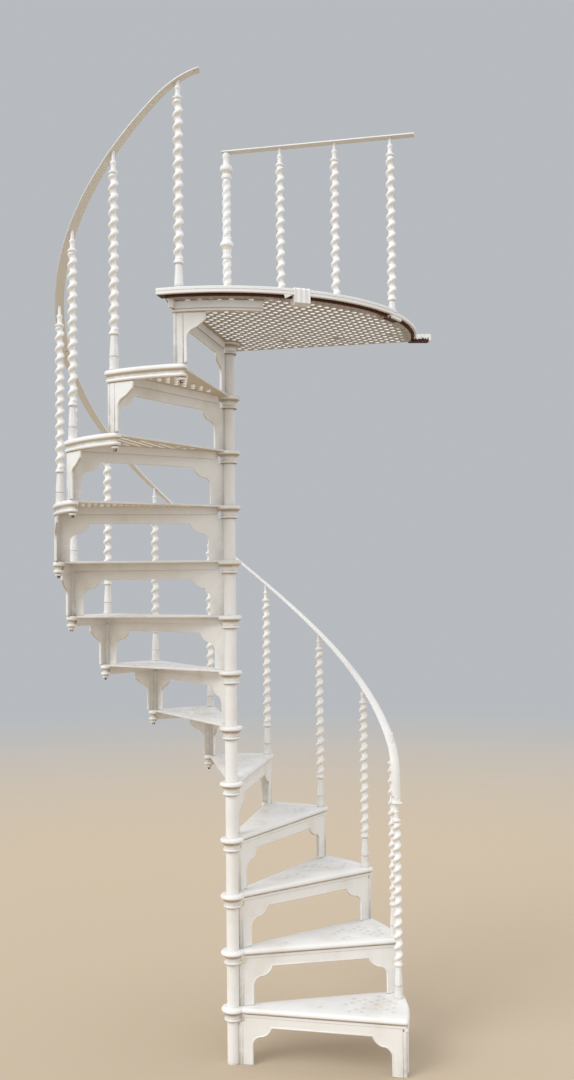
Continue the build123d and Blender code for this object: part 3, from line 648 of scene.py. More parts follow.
def tread_holes():
    """Places of the holes: clear of the riser below, the riser behind, the collar and the rim."""
    places = lattice(TREAD_HOLE_START)
    x, y = places.T
    out = np.hypot(x, y)
    behind = spun(places, -STEP_ANGLE)[:, 1]
    return places[(x > 0) & (y > FRONT_BORDER) & (behind < -REAR_BORDER) & (out > COLLAR_BORDER)
                  & (out < RADIUS - RIM_BORDER)]


outline, shares = tread_outline()
edge = np.einsum("ij,jkl->ikl", shares, np.stack([nosing_lines, rim_lines, boss_lines, plain_lines]))
places = tread_holes()
print("outline corners:", len(outline), "holes in a tread:", len(places))

# %% [markdown]
# The collar is turned: a fat roll level with the nosing, a bell below it and a swelled ring, where the
# next drum of the column begins. On the lower treads nearly all the holes have filled and vanished
# under paint; the upper treads are open. A fixed seed keeps each tread the same.

# %% Collars and the twelve treads
COLLAR_RADIUS = 47.0
COLLAR_HEIGHT = 53.0
COLLAR_SIDES = 40
FIRST_OPEN_TREAD = 8
TRODDEN_REACH = 430.0

collar_roll = (37, -10) + 10 * heading(np.radians(np.linspace(88, -76, 10)))
collar_lines = np.concatenate([
    [(0, 0), (30, 0)], collar_roll,
    arc_through((38.5, -20.4), (32.8, -30.0), (31.5, -40.0), 7),
    arc_through((31.9, -40.6), (35.5, -46.5), (31.9, -52.4), 7),
    [(28.0, -COLLAR_HEIGHT), (0, -COLLAR_HEIGHT)]])
level = collar_lines[:, 1:]
collar_wear = np.interp(level, [-53, -52, -49, -41, -22, -18, 0], [0.95, 0.7, 0.1, 0.15, 0.25, 0, 0])
# Dirt and painted shadow just under the roll, and painted shade in the bell's hollow.
collar_dirt_and_shade = np.interp(level, [-43, -41, -38, -26, -21, -19, -16], [0, 0.5, 0.1, 0.3, 0.9, 0.5, 0])
collar = turned(collar_lines, COLLAR_SIDES, wear=collar_wear, dirt_and_shade=collar_dirt_and_shade)


def marked(front_lines, front, curve_lines, curve):
    """One mark on a tread's moulding: by the number of its line along the front, and otherwise by a
    second table."""
    line = np.arange(len(nosing_lines))[:, None]
    along_front = shares[:, 0]
    return (np.interp(line, front_lines, front) * along_front
            + np.interp(line, curve_lines, curve) * (1 - along_front))


moulding_wear = marked([0, 7, 9, 12, 13, 15, 16, 18], [0, 0, 0.42, 0.42, 0.1, 0.1, 0.4, 0.5],
                       [0, 7, 9, 12, 14, 16, 17], [0, 0.1, 0.25, 0.3, 0.0, 0.1, 0.45])
# Dirt and painted shade under the nosing's roll and in the rim's hollow below its roll.
moulding_dirt_and_shade = marked([8, 9, 12, 13], [0, 0.55, 0.55, 0], [8, 10, 12, 14], [0, 0.35, 0.5, 0])
rng = np.random.default_rng(41)
for number in range(1, TREADS + 1):
    low = np.clip((FIRST_OPEN_TREAD - number) / 4, 0.0, 1.0)
    ripple = np.sin(places[:, 0] / 60 + number) * np.sin(places[:, 1] / 45 + 2 * number)
    chance = rng.random(len(places)) + 0.35 * ripple
    gone = chance < low * np.where(places[:, 0] < TRODDEN_REACH, 0.95, 0.50)
    shut = chance < 1.5 * low + 0.06
    plate = casting(outline, edge, wear=moulding_wear, dirt_and_shade=moulding_dirt_and_shade, holes=places[~gone],
                    clogged=shut[~gone], radius=HOLE_TOP, flare=HOLE_FLARE)
    shell = moved(joined(plate, collar), (number - 1) * STEP_ANGLE, number * RISE)
    piece(f"tread_cast_{number:02d}", shell, tread_paint, f"tread_{number:02d}")
print("volume of the last tread:", round(volume(shell) / 1e6, 2), "litres")

# %% [markdown]
# ## The risers
#
# Between one tread and the next stands an open frame: a stile by the column, an outer post, and a rail
# with an ogee bracket at each end. A small raised bead runs round the opening. The post turns the
# corner and has its own bracket round the curve, and the corner itself is a fat bead between two deep
# grooves. The frame's outline is the same kind of casting as the tread's, stood upright.

# %% Outline of a riser's frame
POST_FACE = 678.0
STILE = 57.0
RAIL_LEVEL = RISE - 73.0
BRACKET = 75.0
POST_DEPTH = 50.0
SIDE_REACH = 64.0
SIDE_HEIGHT = 98.0
SIDE_END = 26.0
SIDE_GROOVE = 36.0
HALF_GROOVE = 0.6
CORNER_BEAD = 6.5
QUIRK = 2.5
QUIRK_DEPTH = 3.0
POST_TOP = RISE - RIM_DEPTH
FRAME_LEFT, FRAME_RIGHT = COLUMN_RADIUS + 0.3, POST_FACE - 2 * CORNER_BEAD - QUIRK


def ogee(x, toward):
    """Edge of a bracket from a stile's side up to the rail: a cove, a small shelf and an ovolo. Its
    points are shares of the bracket's size, across from the stile and down from the rail."""
    def at(across, down):
        return x + toward * BRACKET * across, RAIL_LEVEL - BRACKET * down
    return np.concatenate([arc_through(at(0, 1), at(0.09, 0.68), at(0.36, 0.50)),
                           arc_through(at(0.46, 0.50), at(0.80, 0.32), at(1, 0))])


bead_lines = np.array([(8.5, 0.0), (7.5, 0.1), (6.6, -1.3), (4.6, -2.3), (2.4, -1.8), (0.9, -0.4),
                       (0.0, 1.2), (0.0, 6.8), (0.6, 7.6), (1.4, 8.0)])
square_lines = np.array([(2.4, 0.0), (2.0, 0.0), (1.6, 0.0), (1.2, 0.1), (0.8, 0.3), (0.4, 0.7),
                         (0.0, 1.5), (0.0, 6.8), (0.6, 7.6), (1.4, 8.0)])


def arched(before, arch, after):
    """A flat casting, drawn anticlockwise, with the raised bead along its arch and square edges
    before and after it."""
    share = np.repeat([0.0, 1.0, 0.0], [len(before), len(arch), len(after)])
    return casting(np.concatenate([before, arch, after]), blended(share, bead_lines, square_lines))


def riser_front():
    """The frame, seen from the front."""
    a, b = FRAME_LEFT + STILE, POST_FACE - STILE
    spring = RAIL_LEVEL - BRACKET
    head, neck = RISE - NOSING_DEPTH, RISE - COLLAR_HEIGHT - 0.3
    arch = np.concatenate([np.linspace((a, 4), (a, spring - 4), 5), ogee(a, 1),
                           ogee(b, -1)[::-1], np.linspace((b, spring - 4), (b, 4), 5)])
    return arched([(FRAME_LEFT, 0.0), (a, 0.0)], arch,
                  [(b, 0.0), (FRAME_RIGHT, 0.0), (FRAME_RIGHT, head), (COLLAR_RADIUS, head),
                   (COLLAR_RADIUS, neck), (FRAME_LEFT, neck)])


riser_frame = riser_front()
print("volume of the flat frame:", round(volume(riser_frame) / 1e6, 2), "litres")

# %% [markdown]
# The frame is drawn flat and then stood up: across stays across, up becomes height, and the front
# faces the climber. The post's side is drawn flat too and then rolled onto the stair's curve. Behind
# the corner bead a core joins the two: a block with a thin wall that runs back behind the side.

# %% The riser and its thirteen places
CORE_BITE = 4.0
CORE_WALL = 4.0
CORE_LEAN = 1.5
SMALL_BEAD = 4.5


def stood_up(shell):
    """Drawn flat, then upright: x stays, y becomes height, and depth goes back from the front."""
    x, y, z = shell[0].T
    return np.stack([x, -z, y], -1), shell[1], shell[2]


def rolled_on(shell, radius):
    """Drawn flat, then rolled on a cylinder: x is the distance round from the riser's face, y the
    height, z outwards."""
    x, y, z = shell[0].T
    plan = (radius + z)[:, None] * heading((x - FACE_REACH) / radius)
    return lifted(plan, y), shell[1], shell[2]


def side():
    """The post's side with its bracket, as distance round the curve and height: a cove up from the
    post, a small shelf, and an ovolo out to a short upright end under the rim."""
    inner, tip = SIDE_GROOVE + HALF_GROOVE, POST_DEPTH + SIDE_REACH
    lip, foot = POST_TOP - SIDE_END, POST_TOP - SIDE_HEIGHT
    cusp = (POST_DEPTH + 0.36 * SIDE_REACH, POST_TOP - 0.59 * SIDE_HEIGHT)
    shelf = (POST_DEPTH + 0.55 * SIDE_REACH, POST_TOP - 0.53 * SIDE_HEIGHT)
    arch = np.concatenate([
        np.linspace((POST_DEPTH, 4), (POST_DEPTH, foot - 6), 4),
        arc_through((POST_DEPTH, foot), (POST_DEPTH + 5, POST_TOP - 0.74 * SIDE_HEIGHT), cusp),
        arc_through(shelf, (tip - 9, lip - 9), (tip, lip))])
    return arched([(inner, 0.0), (POST_DEPTH, 0.0)], arch, [(tip, POST_TOP), (inner, POST_TOP)])


def upright_bar(x, y, radius, height):
    """A plain round bar up from the riser's foot."""
    return turned([(0, height), (radius, height), (radius, 0), (0, 0)], 20, (x, y))


def riser_shell():
    """Frame, post side in two parts with a groove between them, core, corner bead and the two small
    beads by the column."""
    front = moved(stood_up(riser_frame), shift=(0.0, -FACE_REACH))
    start, end = 2 * CORNER_BEAD + QUIRK, SIDE_GROOVE - HALF_GROOVE
    strip = np.array([(start, 0), (end, 0), (end, POST_TOP), (start, POST_TOP)], float)
    round_the_curve = [rolled_on(flat, POST_FACE) for flat in (side(), casting(strip, square_lines))]
    inner, outer = FRAME_RIGHT - CORE_BITE, POST_FACE - QUIRK_DEPTH
    face, back, rear = QUIRK_DEPTH - FACE_REACH, start - 7, SIDE_GROOVE - FACE_REACH + 6
    leaning = outer - CORE_LEAN
    core = np.array([(inner, face), (outer, face), (outer, back), (leaning, rear),
                     (leaning - CORE_WALL, rear), (outer - CORE_WALL, back), (inner, back)], float)
    core = moved(casting(core, [(1, 0), (0, 1), (0, POST_TOP - 1), (1, POST_TOP)]), lift=POST_TOP)
    bead = upright_bar(POST_FACE - CORNER_BEAD, CORNER_BEAD - FACE_REACH, CORNER_BEAD, POST_TOP)
    small = [upright_bar(x, 2.7 - FACE_REACH, SMALL_BEAD, RISE - COLLAR_HEIGHT - 1) for x in (29.3, 38.3)]
    whole = joined(front, *round_the_curve, core, bead, *small)
    height = whole[0][:, 2]
    foot = np.clip(1 - height / 4, 0, 1)
    head = np.clip((height - (RISE - NOSING_DEPTH - 4)) / 4, 0, 1)
    # Rust at the joints at foot and head; along the foot, dirt and painted shade where the riser meets the
    # tread.
    return with_raised_marks(whole, 0.45 * foot + 0.3 * head, 0.6 * foot)


riser = riser_shell()
for number in range(1, TREADS + 2):
    shell = moved(riser, (number - 1) * STEP_ANGLE, (number - 1) * RISE)
    piece(f"riser_cast_{number:02d}", shell, riser_paint, f"riser_{number:02d}")
print("volume of a riser:", round(volume(riser) / 1e6, 2), "litres")

# %% [markdown]
# ## The column
#
# The column is a stack of short drums, one between each collar and the next. Each has a hair of rust
# at its two ends. Below each post a painted nut sits on a bolt whose tail has gone to dark rust.

# %% Drums and bolts
DRUM_TOP = RISE - COLLAR_HEIGHT
NUT_ROUND, NUT_CHAMFER = 13.6, 11.6

column, eased = COLUMN_RADIUS, COLUMN_RADIUS - 0.6
drum_lines = np.array([
    # radius, height, wear
    (0, DRUM_TOP, 0.6), (22, DRUM_TOP, 0.6), (eased, DRUM_TOP, 0.6), (column, DRUM_TOP - 1.5, 0.45),
    (column, DRUM_TOP - 12, 0.05), (column, DRUM_TOP / 2, 0), (column, 12, 0.05), (column, 1.5, 0.5),
    (eased, 0, 0.7), (22, 0, 0.7), (0, 0, 0.7)])
drum = turned(drum_lines[:, :2], COLLAR_SIDES, wear=drum_lines[:, 2:])
drums = joined(*[moved(drum, lift=number * RISE) for number in range(TREADS + 1)])
piece("column_drums_painted", drums, riser_paint, "column_drums")

nut = turned([(0, 0), (NUT_CHAMFER, 0), (NUT_ROUND, -1.2), (NUT_ROUND, -8.8), (NUT_CHAMFER, -10.0),
              (6.2, -10.0), (0, -10.0)], 6, wear=0.12, dirt_and_shade=0.1)
tail = turned([(0, -9.0), (6.0, -9.0), (6.0, -17.5), (4.6, -19.0), (0, -19.0)], 14, wear=1.0)
bolt_turn = turn_aside(BOSS_REACH - BOSS_RADIUS, RADIUS - BOSS_RADIUS)
bolt = moved(joined(nut, tail), bolt_turn, -RIM_DEPTH, (RADIUS - BOSS_RADIUS, 0.0))
bolts = joined(*[moved(bolt, n * STEP_ANGLE, n * RISE) for n in range(1, TREADS + 1)])
piece("post_bolts_rusted", bolts, riser_paint, "post_bolts")
print("drums:", TREADS + 1, "bolts:", TREADS)

# %% [markdown]
# ## The balusters
#
# Each baluster is cast in one piece: a round foot, a fluted taper between two rings, a long twist like
# barley sugar, and a slim neck with a ball under the rail. The twist is a round bar whose middle winds
# round the axis, so a slice at any height is a circle set off to one side. The whole casting is one
# sheet: height is one parameter and the way round is the other, and the radius, the depth of the flutes
# and the offset are read from short tables by height.

# %% One baluster as a sheet
BALUSTER_LINE = np.array([
    (0, 19), (3, 19), (8, 17.6), (12, 16.6), (38, 16.2), (41, 17), (43.5, 16.6), (45.5, 14.2), (48, 14),
    (50.5, 15.8), (56, 16.2), (70, 15.5), (118, 12.3), (123, 12), (125, 14.5), (127, 17), (133.5, 17.2),
    (136, 15.4), (138.5, 13.6), (150, 13.8), (682, 13.8), (691, 13.4), (693, 15.6), (695, 17.2), (700, 17.4),
    (703, 15), (706, 9.8), (709, 9), (724, 8.2), (727.5, 9.4), (731, 11), (735, 11.2), (738.5, 9.2),
    (741, 6.4), (745, 6)])
BALUSTER_FLUTES = np.array([(48, 0), (50.5, 0.6), (56, 1.4), (70, 1.6), (118, 1.3), (123, 0.3), (125, 0)])
BALUSTER_TWIST = np.array([(138.5, 0), (150, 4.6), (682, 4.6), (691, 0)])
BALUSTER_SIDES = 28
TWIST_PITCH = 43.0
TWIST_ROW = 3.0
FLUTES = 8


def wound_bar(line, flutes, twist, even_rows, sides, pitch, starts=1):
    """Sheet of a turned and twisted bar, listed from the top down, with even rows through the twist.
    At height h and angle t: radius = r(h) - flute(h) (1 - cos(8 t)) / 2, and the middle is set off by
    e(h) towards the angle 2 pi h / pitch. With more starts the middle stays and
    e(h) cos(starts (t - 2 pi h / pitch)) is added to the radius."""
    even = np.arange(*even_rows, TWIST_ROW)
    h = np.unique(np.concatenate([line[:, 0], even]))[::-1, None]
    t = np.arange(sides)[None, :] * 2 * np.pi / sides
    radius, flute, offset = (np.interp(h, *table.T) for table in (line, flutes, twist))
    wind = 2 * np.pi * h / pitch
    radius = radius - flute * (1 - np.cos(FLUTES * t)) / 2
    if starts > 1:
        radius = radius + offset * np.cos(starts * (t - wind))
        offset = 0 * offset
    return lifted(offset[..., None] * heading(wind) + radius[..., None] * heading(t), h)


def baluster_shell(height, slope=0.0):
    """A closed baluster. The neck's end follows the rail's slope along the baluster's own y."""
    grid = wound_bar(BALUSTER_LINE, BALUSTER_FLUTES, BALUSTER_TWIST, (139.0, 691.0),
                     BALUSTER_SIDES, TWIST_PITCH)
    neck = lifted(grid[:1, :, :2], height + slope * grid[:1, :, 1])
    grid = np.concatenate([lifted(0 * neck[..., :2], height), neck, grid, grid[-1:] * ON_AXIS])
    level = grid[:, :1, 2]
    wear = np.interp(level, [0, 6, 12, 43, 47, 51, 120, 124, 128], [0.6, 0.2, 0, 0, 0.3, 0, 0, 0.35, 0])
    # Dirt and painted shade in the grooves by the rings and round the foot.
    dirt_and_shade = np.interp(level, [0, 4, 44, 47, 50, 120, 124, 128], [0.6, 0.2, 0.2, 0.8, 0.1, 0.1, 0.6, 0.0])
    return sheet(grid, wear, dirt_and_shade)


sample = baluster_shell(BALUSTER_HEIGHT)
print("points in a baluster:", len(sample[0]), "volume", round(volume(sample) / 1e6, 3), "litres")

# %% [markdown]
# ## The line of the handrail
#
# The wrought bar climbs like the thread of a screw, so unrolled it is a straight line: so much up for
# so much round. At the foot it bends down until it stands upright on the first baluster, and near the
# top it eases off. The path is first worked out unrolled, as distance round against height, and then
# wrapped on the circle of the balusters.

# %% Unrolled path and its wrapping
RAIL_WIDTH = 36.0
RAIL_THICK = 11.0
BEND_RADIUS = 200.0
FIRST_TURN = 17.5
OVERRUN = 7.0
EASING_TURN = 14.0
EASING_DROP = 45.0
PITCH = RISE / np.radians(STEP_ANGLE) / BALUSTER_CIRCLE
FIRST_LEVEL = RISE + BALUSTER_HEIGHT


def rail_path():
    """Distance round and height of the bar's middle: a bend of 200 mm from upright to the pitch, then
    the pitch line, which drops back by the square of the distance into its last fourteen degrees."""
    slope = np.arctan(PITCH)
    foot = np.radians(FIRST_TURN) * BALUSTER_CIRCLE
    corner = FIRST_LEVEL + foot * PITCH
    tangent = BEND_RADIUS * np.tan((np.pi / 2 - slope) / 2)
    t = np.pi - (np.pi / 2 - slope) * np.linspace(0, 1, 15)
    bend = (foot + BEND_RADIUS, corner - tangent) + BEND_RADIUS * heading(t)
    end = np.radians(LANDING_TURN + OVERRUN) * BALUSTER_CIRCLE
    easing = np.radians(EASING_TURN) * BALUSTER_CIRCLE
    along = np.linspace(bend[-1, 0], end, 170)[1:]
    past = np.clip(along - end + easing, 0, None) / easing
    climb = np.stack([along, FIRST_LEVEL + along * PITCH - EASING_DROP * past ** 2], -1)
    stand = np.linspace((foot, FIRST_LEVEL), (foot, bend[0, 1]), 4)[:3]
    return np.concatenate([stand, bend, climb])


def wrapped(path):
    """Middle, outward and upward directions of the bar: the tangent in the unrolled plane is laid
    round the circle, and up is outward x tangent."""
    run = np.gradient(path, axis=0)
    run /= np.linalg.norm(run, axis=1, keepdims=True)
    outward = lifted(heading(path[:, 0] / BALUSTER_CIRCLE), 0.0)
    tangent = np.cross(UP, outward) * run[:, :1] + UP * run[:, 1:]
    middle = outward * BALUSTER_CIRCLE + UP * path[:, 1:]
    return middle, outward, np.cross(outward, tangent)


def bar_along(middle, across, up, section, wear=0.0):
    """A section carried along a path: point = middle + across u + up v, with both ends closed. The
    section may differ from place to place."""
    middle, across, up = np.broadcast_arrays(middle, across, up)
    section = np.broadcast_to(section, (len(middle),) + section.shape[-2:])
    grid = middle[:, None] + across[:, None] * section[..., :1] + up[:, None] * section[..., 1:]
    points, faces, marks = sheet(grid, wear)
    count = section.shape[1]
    ends = np.stack([np.arange(count), (len(middle) * count - 1) - np.arange(count)])
    return points, faces + [ends], marks


half, crown = RAIL_WIDTH / 2, RAIL_THICK / 2
across = np.linspace(1, -1, 9)
rail_section = np.concatenate([
    [(-half + 1.0, -crown), (half - 1.0, -crown), (half, -crown + 1.0), (half, -crown + 3.2)],
    np.stack([across * (half - 0.8), -crown + 4.2 + (RAIL_THICK - 4.2) * (1 - across ** 2)], -1),
    [(-half, -crown + 3.2), (-half, -crown + 1.0)]])
path = rail_path()
middle, outward, upward = wrapped(path)
print("length of the bar:", round(np.linalg.norm(np.diff(middle, axis=0), axis=1).sum()), "mm")

# %% [markdown]
# The bar came in three lengths, lapped and riveted; the cuts fall where the CAD has them. A small
# plate closes the foot on the first baluster's neck.

# %% Three lengths of handrail
def length_between(first, last):
    """The part of the bar between two places along the path."""
    part = slice(first, last + 1)
    wear = np.zeros((last + 1 - first, 1))
    wear[:2] = wear[-2:] = 0.6
    return bar_along(middle[part], outward[part], upward[part], rail_section, wear=wear)


def cut_at(node):
    """Place along the path that is level with the top of a CAD length."""
    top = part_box(node)[1].z / MM - crown
    return int(np.argmin(np.abs(path[:, 1] - top)))


cuts = [0, cut_at("handrail_lower"), cut_at("handrail_middle"), len(path) - 1]
lengths = [length_between(first, last) for first, last in zip(cuts[:-1], cuts[1:])]
foot_outline = np.array([(-20, -22), (20, -22), (20, 22), (-20, 22)], float)
foot_plate = casting(foot_outline, [(1.5, 0), (0.4, 0.5), (0, 1.5), (0, 5), (1, 6)], wear=0.35)
foot_plate = moved(foot_plate, FIRST_TURN, FIRST_LEVEL, (BALUSTER_CIRCLE, 0.0))
lengths[0] = joined(lengths[0], foot_plate)
for shell, part in zip(lengths, ("lower", "middle", "upper")):
    piece(f"handrail_bar_{part}", shell, rail_paint, f"handrail_{part}")
print("cuts at points", cuts)

# %% [markdown]
# ## Thirteen balusters in their places
#
# One casting is repeated, turned with its tread. Its neck is as long as the rail above asks, and is
# cut to the rail's slope.

# %% Balusters of the stair
BALUSTER_OFFSET = 5.0
FOOT_PLATE = 6.0
BEND_POINTS = 20


def rail_level(along):
    """Height of the bar's middle and its slope at a distance round the stair."""
    level, ahead = np.interp([along, along + 1.0], *path[BEND_POINTS:].T)
    return level, ahead - level


def stair_baluster(number):
    """The baluster on a tread, counted from the foot of the stair."""
    turn, seat, slope = FIRST_TURN, BALUSTER_HEIGHT - FOOT_PLATE, 0.0
    if number > 1:
        along = np.radians((number - 1) * STEP_ANGLE) * BALUSTER_CIRCLE + BALUSTER_OFFSET
        turn = np.degrees(along / BALUSTER_CIRCLE)
        level, slope = rail_level(along)
        seat = level - crown * np.hypot(1, slope) - number * RISE
    return moved(baluster_shell(seat, slope), turn, number * RISE, (BALUSTER_CIRCLE, 0.0))


for part, numbers in {"lower": range(1, 6), "middle": range(6, 11), "upper": range(11, 14)}.items():
    shell = joined(*map(stair_baluster, numbers))
    piece(f"balusters_twisted_{part}", shell, baluster_paint, f"balusters_{part}")
print("balusters:", TREADS + 1)

# %% [markdown]
# ## The landing
#
# The landing is a quarter plate with rows of holes all over, a nosing on its front edge like a tread's,
# and a hub under it on the column. Its holes are open, and their white walls catch the light from
# above, while the underside is painted a dark tan as painted shade, so it stays dark. The joints on its
# edge have bled rust onto it. The plate is drawn on under the bar at its edge, so that the holes run on
# out of sight.

# %% Landing plate
LANDING_RADIUS = 730.0
LANDING_BACK = 140.0
LAP_TURN = 70.0
SPLICE_TURN = 34.4
LANDING_HOLE_START = (-0.6, 23.6)
NEWEL_BORDER, EDGE_BORDER = 64.0, 16.0
RED_LEAD = 1.5
RUST_TURNS = (SPLICE_TURN - 4.5, LAP_TURN - 5.0)
RUST_REACH = 30.0

hub = turned(np.concatenate([[(0, -5), (33, -5)], collar_lines[6:]]), COLLAR_SIDES)


def landing_outline():
    """Corners of the quarter plate and the share of nosing at each; the rest is a plain edge."""
    reach = leg(LANDING_RADIUS, NOSING_REACH)
    front = np.linspace((40.0, -NOSING_REACH), (reach, -NOSING_REACH), 8)
    outer = arc((0, 0), LANDING_RADIUS, 0.05 - turn_aside(NOSING_REACH, LANDING_RADIUS),
                90 + turn_aside(LANDING_BACK, LANDING_RADIUS), 60)
    back = [(-LANDING_BACK, 340.0), (-LANDING_BACK, 0.0), (-LANDING_BACK, -NOSING_REACH),
            (39.0, -NOSING_REACH)]
    corners = np.concatenate([front, outer, back])
    return corners, (np.arange(len(corners)) < len(front)).astype(float)


def landing_holes():
    """Places of the landing's holes: a plain border is left at every edge and round the newel."""
    places = lattice(LANDING_HOLE_START)
    x, y = places.T
    out = np.hypot(x, y)
    return places[(y > FRONT_BORDER) & (x > FRONT_BORDER - LANDING_BACK) & (out > NEWEL_BORDER)
                  & (out < LANDING_RADIUS - EDGE_BORDER)]


def at_landing(shell):
    """A shell drawn at the first riser, turned and lifted to the landing."""
    return moved(shell, LANDING_TURN, LANDING_LEVEL)


landing_corners, share = landing_outline()
landing_places = landing_holes()
on_curve = (share == 0) & (np.hypot(*landing_corners.T) > LANDING_RADIUS - 1)
landing = casting(landing_corners, blended(share, nosing_lines, plain_lines), wear=RED_LEAD * on_curve,
                  holes=landing_places, radius=HOLE_TOP, flare=HOLE_FLARE)
landing = joined(landing, hub)
for turn in RUST_TURNS:
    spot = (LANDING_RADIUS - 8) * heading(np.radians(turn))
    gap = np.linalg.norm(landing[0][:, :2] - spot, axis=1)
    landing = with_raised_marks(landing, 0.9 * np.exp(-(gap / RUST_REACH) ** 2), 0 * gap)
piece("landing_plate_pierced", at_landing(landing), landing_paint, "landing_plate")
print("holes in the landing:", len(landing_places))

# %% [markdown]
# A flat bar runs along the landing's curved edge and stands proud of it, in a thick length and a thin
# one. A lap plate, a splice clamp and a lug at the far end hold it. Its underside never got its white
# coats, so the dark red primer and rust show. Below, one short rib carries on the stair's curve.

# %% Strip and rib
STRIP_OUTER = 750.0
STRIP_INNER = 694.0
THICK_BAR, THIN_BAR = 22.0, 14.0
PRIMER_EDGE = 12.0
GROOVE_DEPTH, GROOVE_BED = 1.4, 0.5
RIB_RISE = 3.0
JOINT_INNER = STRIP_OUTER - 38.0
LUG_INNER, LUG_OUTER, LUG_LENGTH = STRIP_OUTER - 28.0, STRIP_OUTER + 60.0, 38.0


def turn_along(length):
    """Degrees that a length along the strip's outer edge goes round."""
    return np.degrees(length / STRIP_OUTER)


def curved_bar(inner, outer, bottom, top, start, end, ease=2.0, count=60, grooves=(), primer=0.0, ribs=0):
    """A bar of square section with eased edges along an arc about the column. Each groove is a level
    at which a fine line is cut in the outer face. Primer is the wear of the underside, which ends 12 mm
    before the outer edge. Ribs swell the outer face: r = outer - 3 (1 - cos(2 pi ribs s)) / 2 at the
    share s of the length."""
    bed = outer - GROOVE_DEPTH
    cuts = [p for z in grooves for p in ((outer, z - GROOVE_DEPTH), (bed, z - GROOVE_BED),
                                         (bed, z + GROOVE_BED), (outer, z + GROOVE_DEPTH))]
    section = np.array([(inner + ease, bottom), (outer - PRIMER_EDGE, bottom), (outer - ease, bottom),
                        (outer, bottom + ease), *cuts, (outer, top - ease), (outer - ease, top),
                        (inner + ease, top), (inner, top - ease), (inner, bottom + ease)], float)
    wear = np.zeros(len(section))
    wear[[0, 1, -1]] = primer
    share = np.linspace(0, 1, count)
    on_face = section[:, 0] > outer - PRIMER_EDGE - 0.5
    section = np.tile(section, (count, 1, 1))
    section[..., 0] -= RIB_RISE / 2 * (1 - np.cos(2 * np.pi * ribs * share))[:, None] * on_face
    outward = lifted(heading(np.radians(start + (end - start) * share)), 0.0)
    return bar_along(np.zeros(3), outward, UP, section, wear=wear)


def clamped(inner, outer, bottom, top, middle_turn, length, **finish):
    """A short bar by the strip, given by its middle angle and its length."""
    half_turn = turn_along(length) / 2
    return curved_bar(inner, outer, bottom, top, middle_turn - half_turn, middle_turn + half_turn,
                      **{"count": 8, **finish})


def bent_tab(turn, length, drop):
    """A pointed tongue of the strip that has bent down at the splice, drawn flat and rolled on."""
    outline = np.array([(0.0, 1.0), (5.0, -drop), (length, 1.0)]) + (FACE_REACH, 0.0)
    return moved(rolled_on(casting(outline, square_lines), STRIP_OUTER - 0.5), turn)


strip_first = -turn_along(47.0)
strip_last = 90 + turn_along(LANDING_BACK + 30.0)
strip = joined(
    curved_bar(STRIP_INNER, STRIP_OUTER, 0.0, THICK_BAR, strip_first, LAP_TURN, grooves=(THICK_BAR / 2,),
               primer=RED_LEAD),
    curved_bar(STRIP_INNER, STRIP_OUTER, 0.0, THIN_BAR, LAP_TURN, strip_last, count=30, primer=RED_LEAD),
    clamped(JOINT_INNER, STRIP_OUTER, -12.0, 0.0, LAP_TURN, 75.0, primer=RED_LEAD),
    clamped(JOINT_INNER, STRIP_OUTER + 4.0, -31.0, 26.0, SPLICE_TURN, 57.0, ease=6.0, ribs=3, count=37),
    clamped(LUG_INNER, LUG_OUTER, -8.0, 20.0, strip_last - turn_along(LUG_LENGTH / 2), LUG_LENGTH,
            ease=4.0, primer=RED_LEAD),
    bent_tab(SPLICE_TURN - turn_along(64.0), 34.0, 13.0))
piece("landing_strip_bar", at_landing(strip), strip_paint, "landing_strip")
rib = joined(curved_bar(RADIUS - RIM_WALL, RADIUS, -NOSING_DEPTH, -PLATE, 0.0, 25.0, count=20),
             curved_bar(RADIUS - RIM_WALL, RADIUS, -RIM_DEPTH, -NOSING_DEPTH, -1.0, 25.0, count=20))
piece("landing_rib", at_landing(rib), tread_paint, "landing_fascia")
print("strip from", round(strip_first, 1), "to", round(strip_last, 1), "degrees")

# %% [markdown]
# ## The guard of the landing
#
# A newel stands on the column and three more balusters stand in line with it, under a level bar. The
# newel is thicker and its twist has two strands, so its two sides swell at the same height.

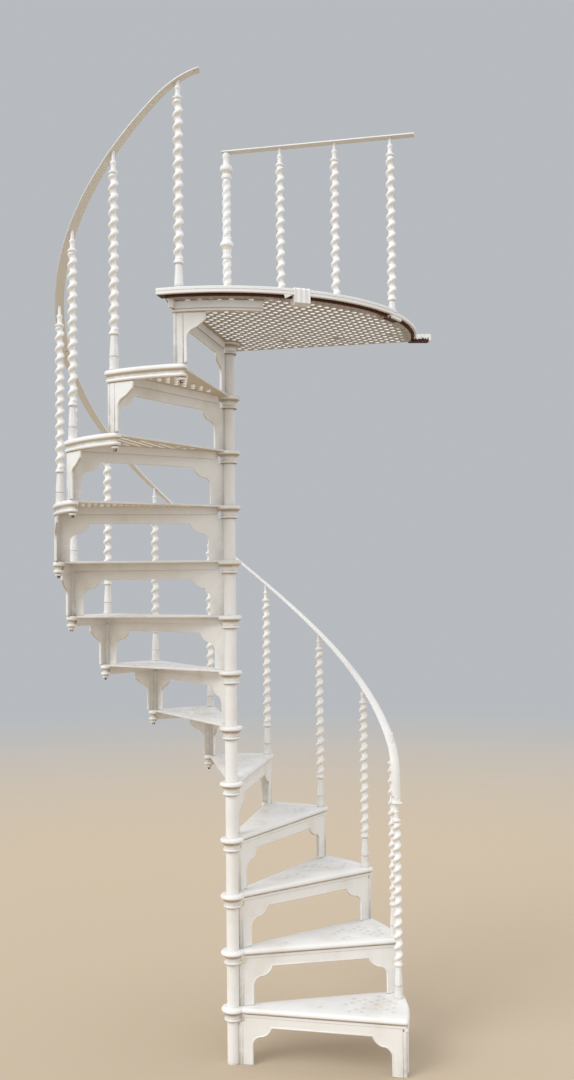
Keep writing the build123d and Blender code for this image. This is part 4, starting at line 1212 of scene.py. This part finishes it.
# %% Newel, guard balusters and guard rail
NEWEL_LINE = np.array([
    (0, 26), (24, 26), (30, 22), (36, 21), (120, 16), (134, 15.5), (138, 20), (146, 20.5), (150, 16),
    (160, 16.4), (325, 16.4), (333, 16.5), (336, 19.5), (339, 20.5), (345, 20.5), (348, 18.5), (351, 16.5),
    (372, 18), (381, 22.5), (387, 27), (392, 28.5), (397, 27.5), (404, 22), (414, 17.5), (422, 16.2),
    (650, 15.8), (657, 15.8), (660, 18.5), (664, 20.3), (672, 20.3), (676, 18), (680, 15.2), (687, 17.5),
    (692, 24), (696, 25.5), (708, 25.5), (712, 23), (717, 15), (728, 12.6), (744, 12.6), (749, 15.4),
    (763, 15.4), (766.2, 14)])
NEWEL_FLUTES = np.array([(30, 0), (36, 0.6), (120, 1.4), (134, 0), (348, 0), (351, 0.8), (372, 1.6),
                         (381, 0.8), (387, 0)])
NEWEL_TWIST = np.array([(150, 0), (160, 2.2), (325, 2.2), (333, 0), (414, 0), (422, 2), (650, 2), (657, 0)])
NEWEL_SIDES = 36
NEWEL_PITCH = 70.0
GUARD_PLACES = (220.0, 440.0, 660.0)
GUARD_LEVEL = LANDING_LEVEL + BALUSTER_HEIGHT

grid = wound_bar(NEWEL_LINE, NEWEL_FLUTES, NEWEL_TWIST, (151.0, 664.0), NEWEL_SIDES, NEWEL_PITCH, starts=2)
grid = np.concatenate([grid[:1] * ON_AXIS, grid, grid[-1:] * ON_AXIS])
level = grid[:, :1, 2]
wear = np.interp(level, [0, 8, 30, 134, 140, 665, 690, 700], [0.5, 0, 0.1, 0.3, 0, 0, 0.3, 0])
piece("newel_twisted", moved(sheet(grid, wear), lift=LANDING_LEVEL), baluster_paint, "newel_post")

one = baluster_shell(BALUSTER_HEIGHT - crown)
guard = joined(*[moved(one, lift=LANDING_LEVEL, shift=(x, 0.0)) for x in GUARD_PLACES])
piece("guard_balusters_twisted", guard, baluster_paint, "guard_balusters")

guard_middle = np.array([(x, 0.0, GUARD_LEVEL) for x in (-18.0, 0.0, 380.0, 755.0)])
guard_bar = bar_along(guard_middle, (0.0, -1.0, 0.0), UP, rail_section)
piece("guard_rail_bar", guard_bar, rail_paint, "guard_rail")
print("volume of the guard rail:", round(volume(guard_bar) / 1e6, 3), "litres")

# %% [markdown]
# ## Counting the pieces
#
# The new pieces are counted, with the triangles in them.

# %% Pieces and triangles
pieces = [o for o in bpy.data.objects if o.type == "MESH" and o != floor and o.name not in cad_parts]
count = sum(len(p.vertices) - 2 for o in pieces for p in o.data.polygons)
print("pieces:", len(pieces), "triangles:", count)
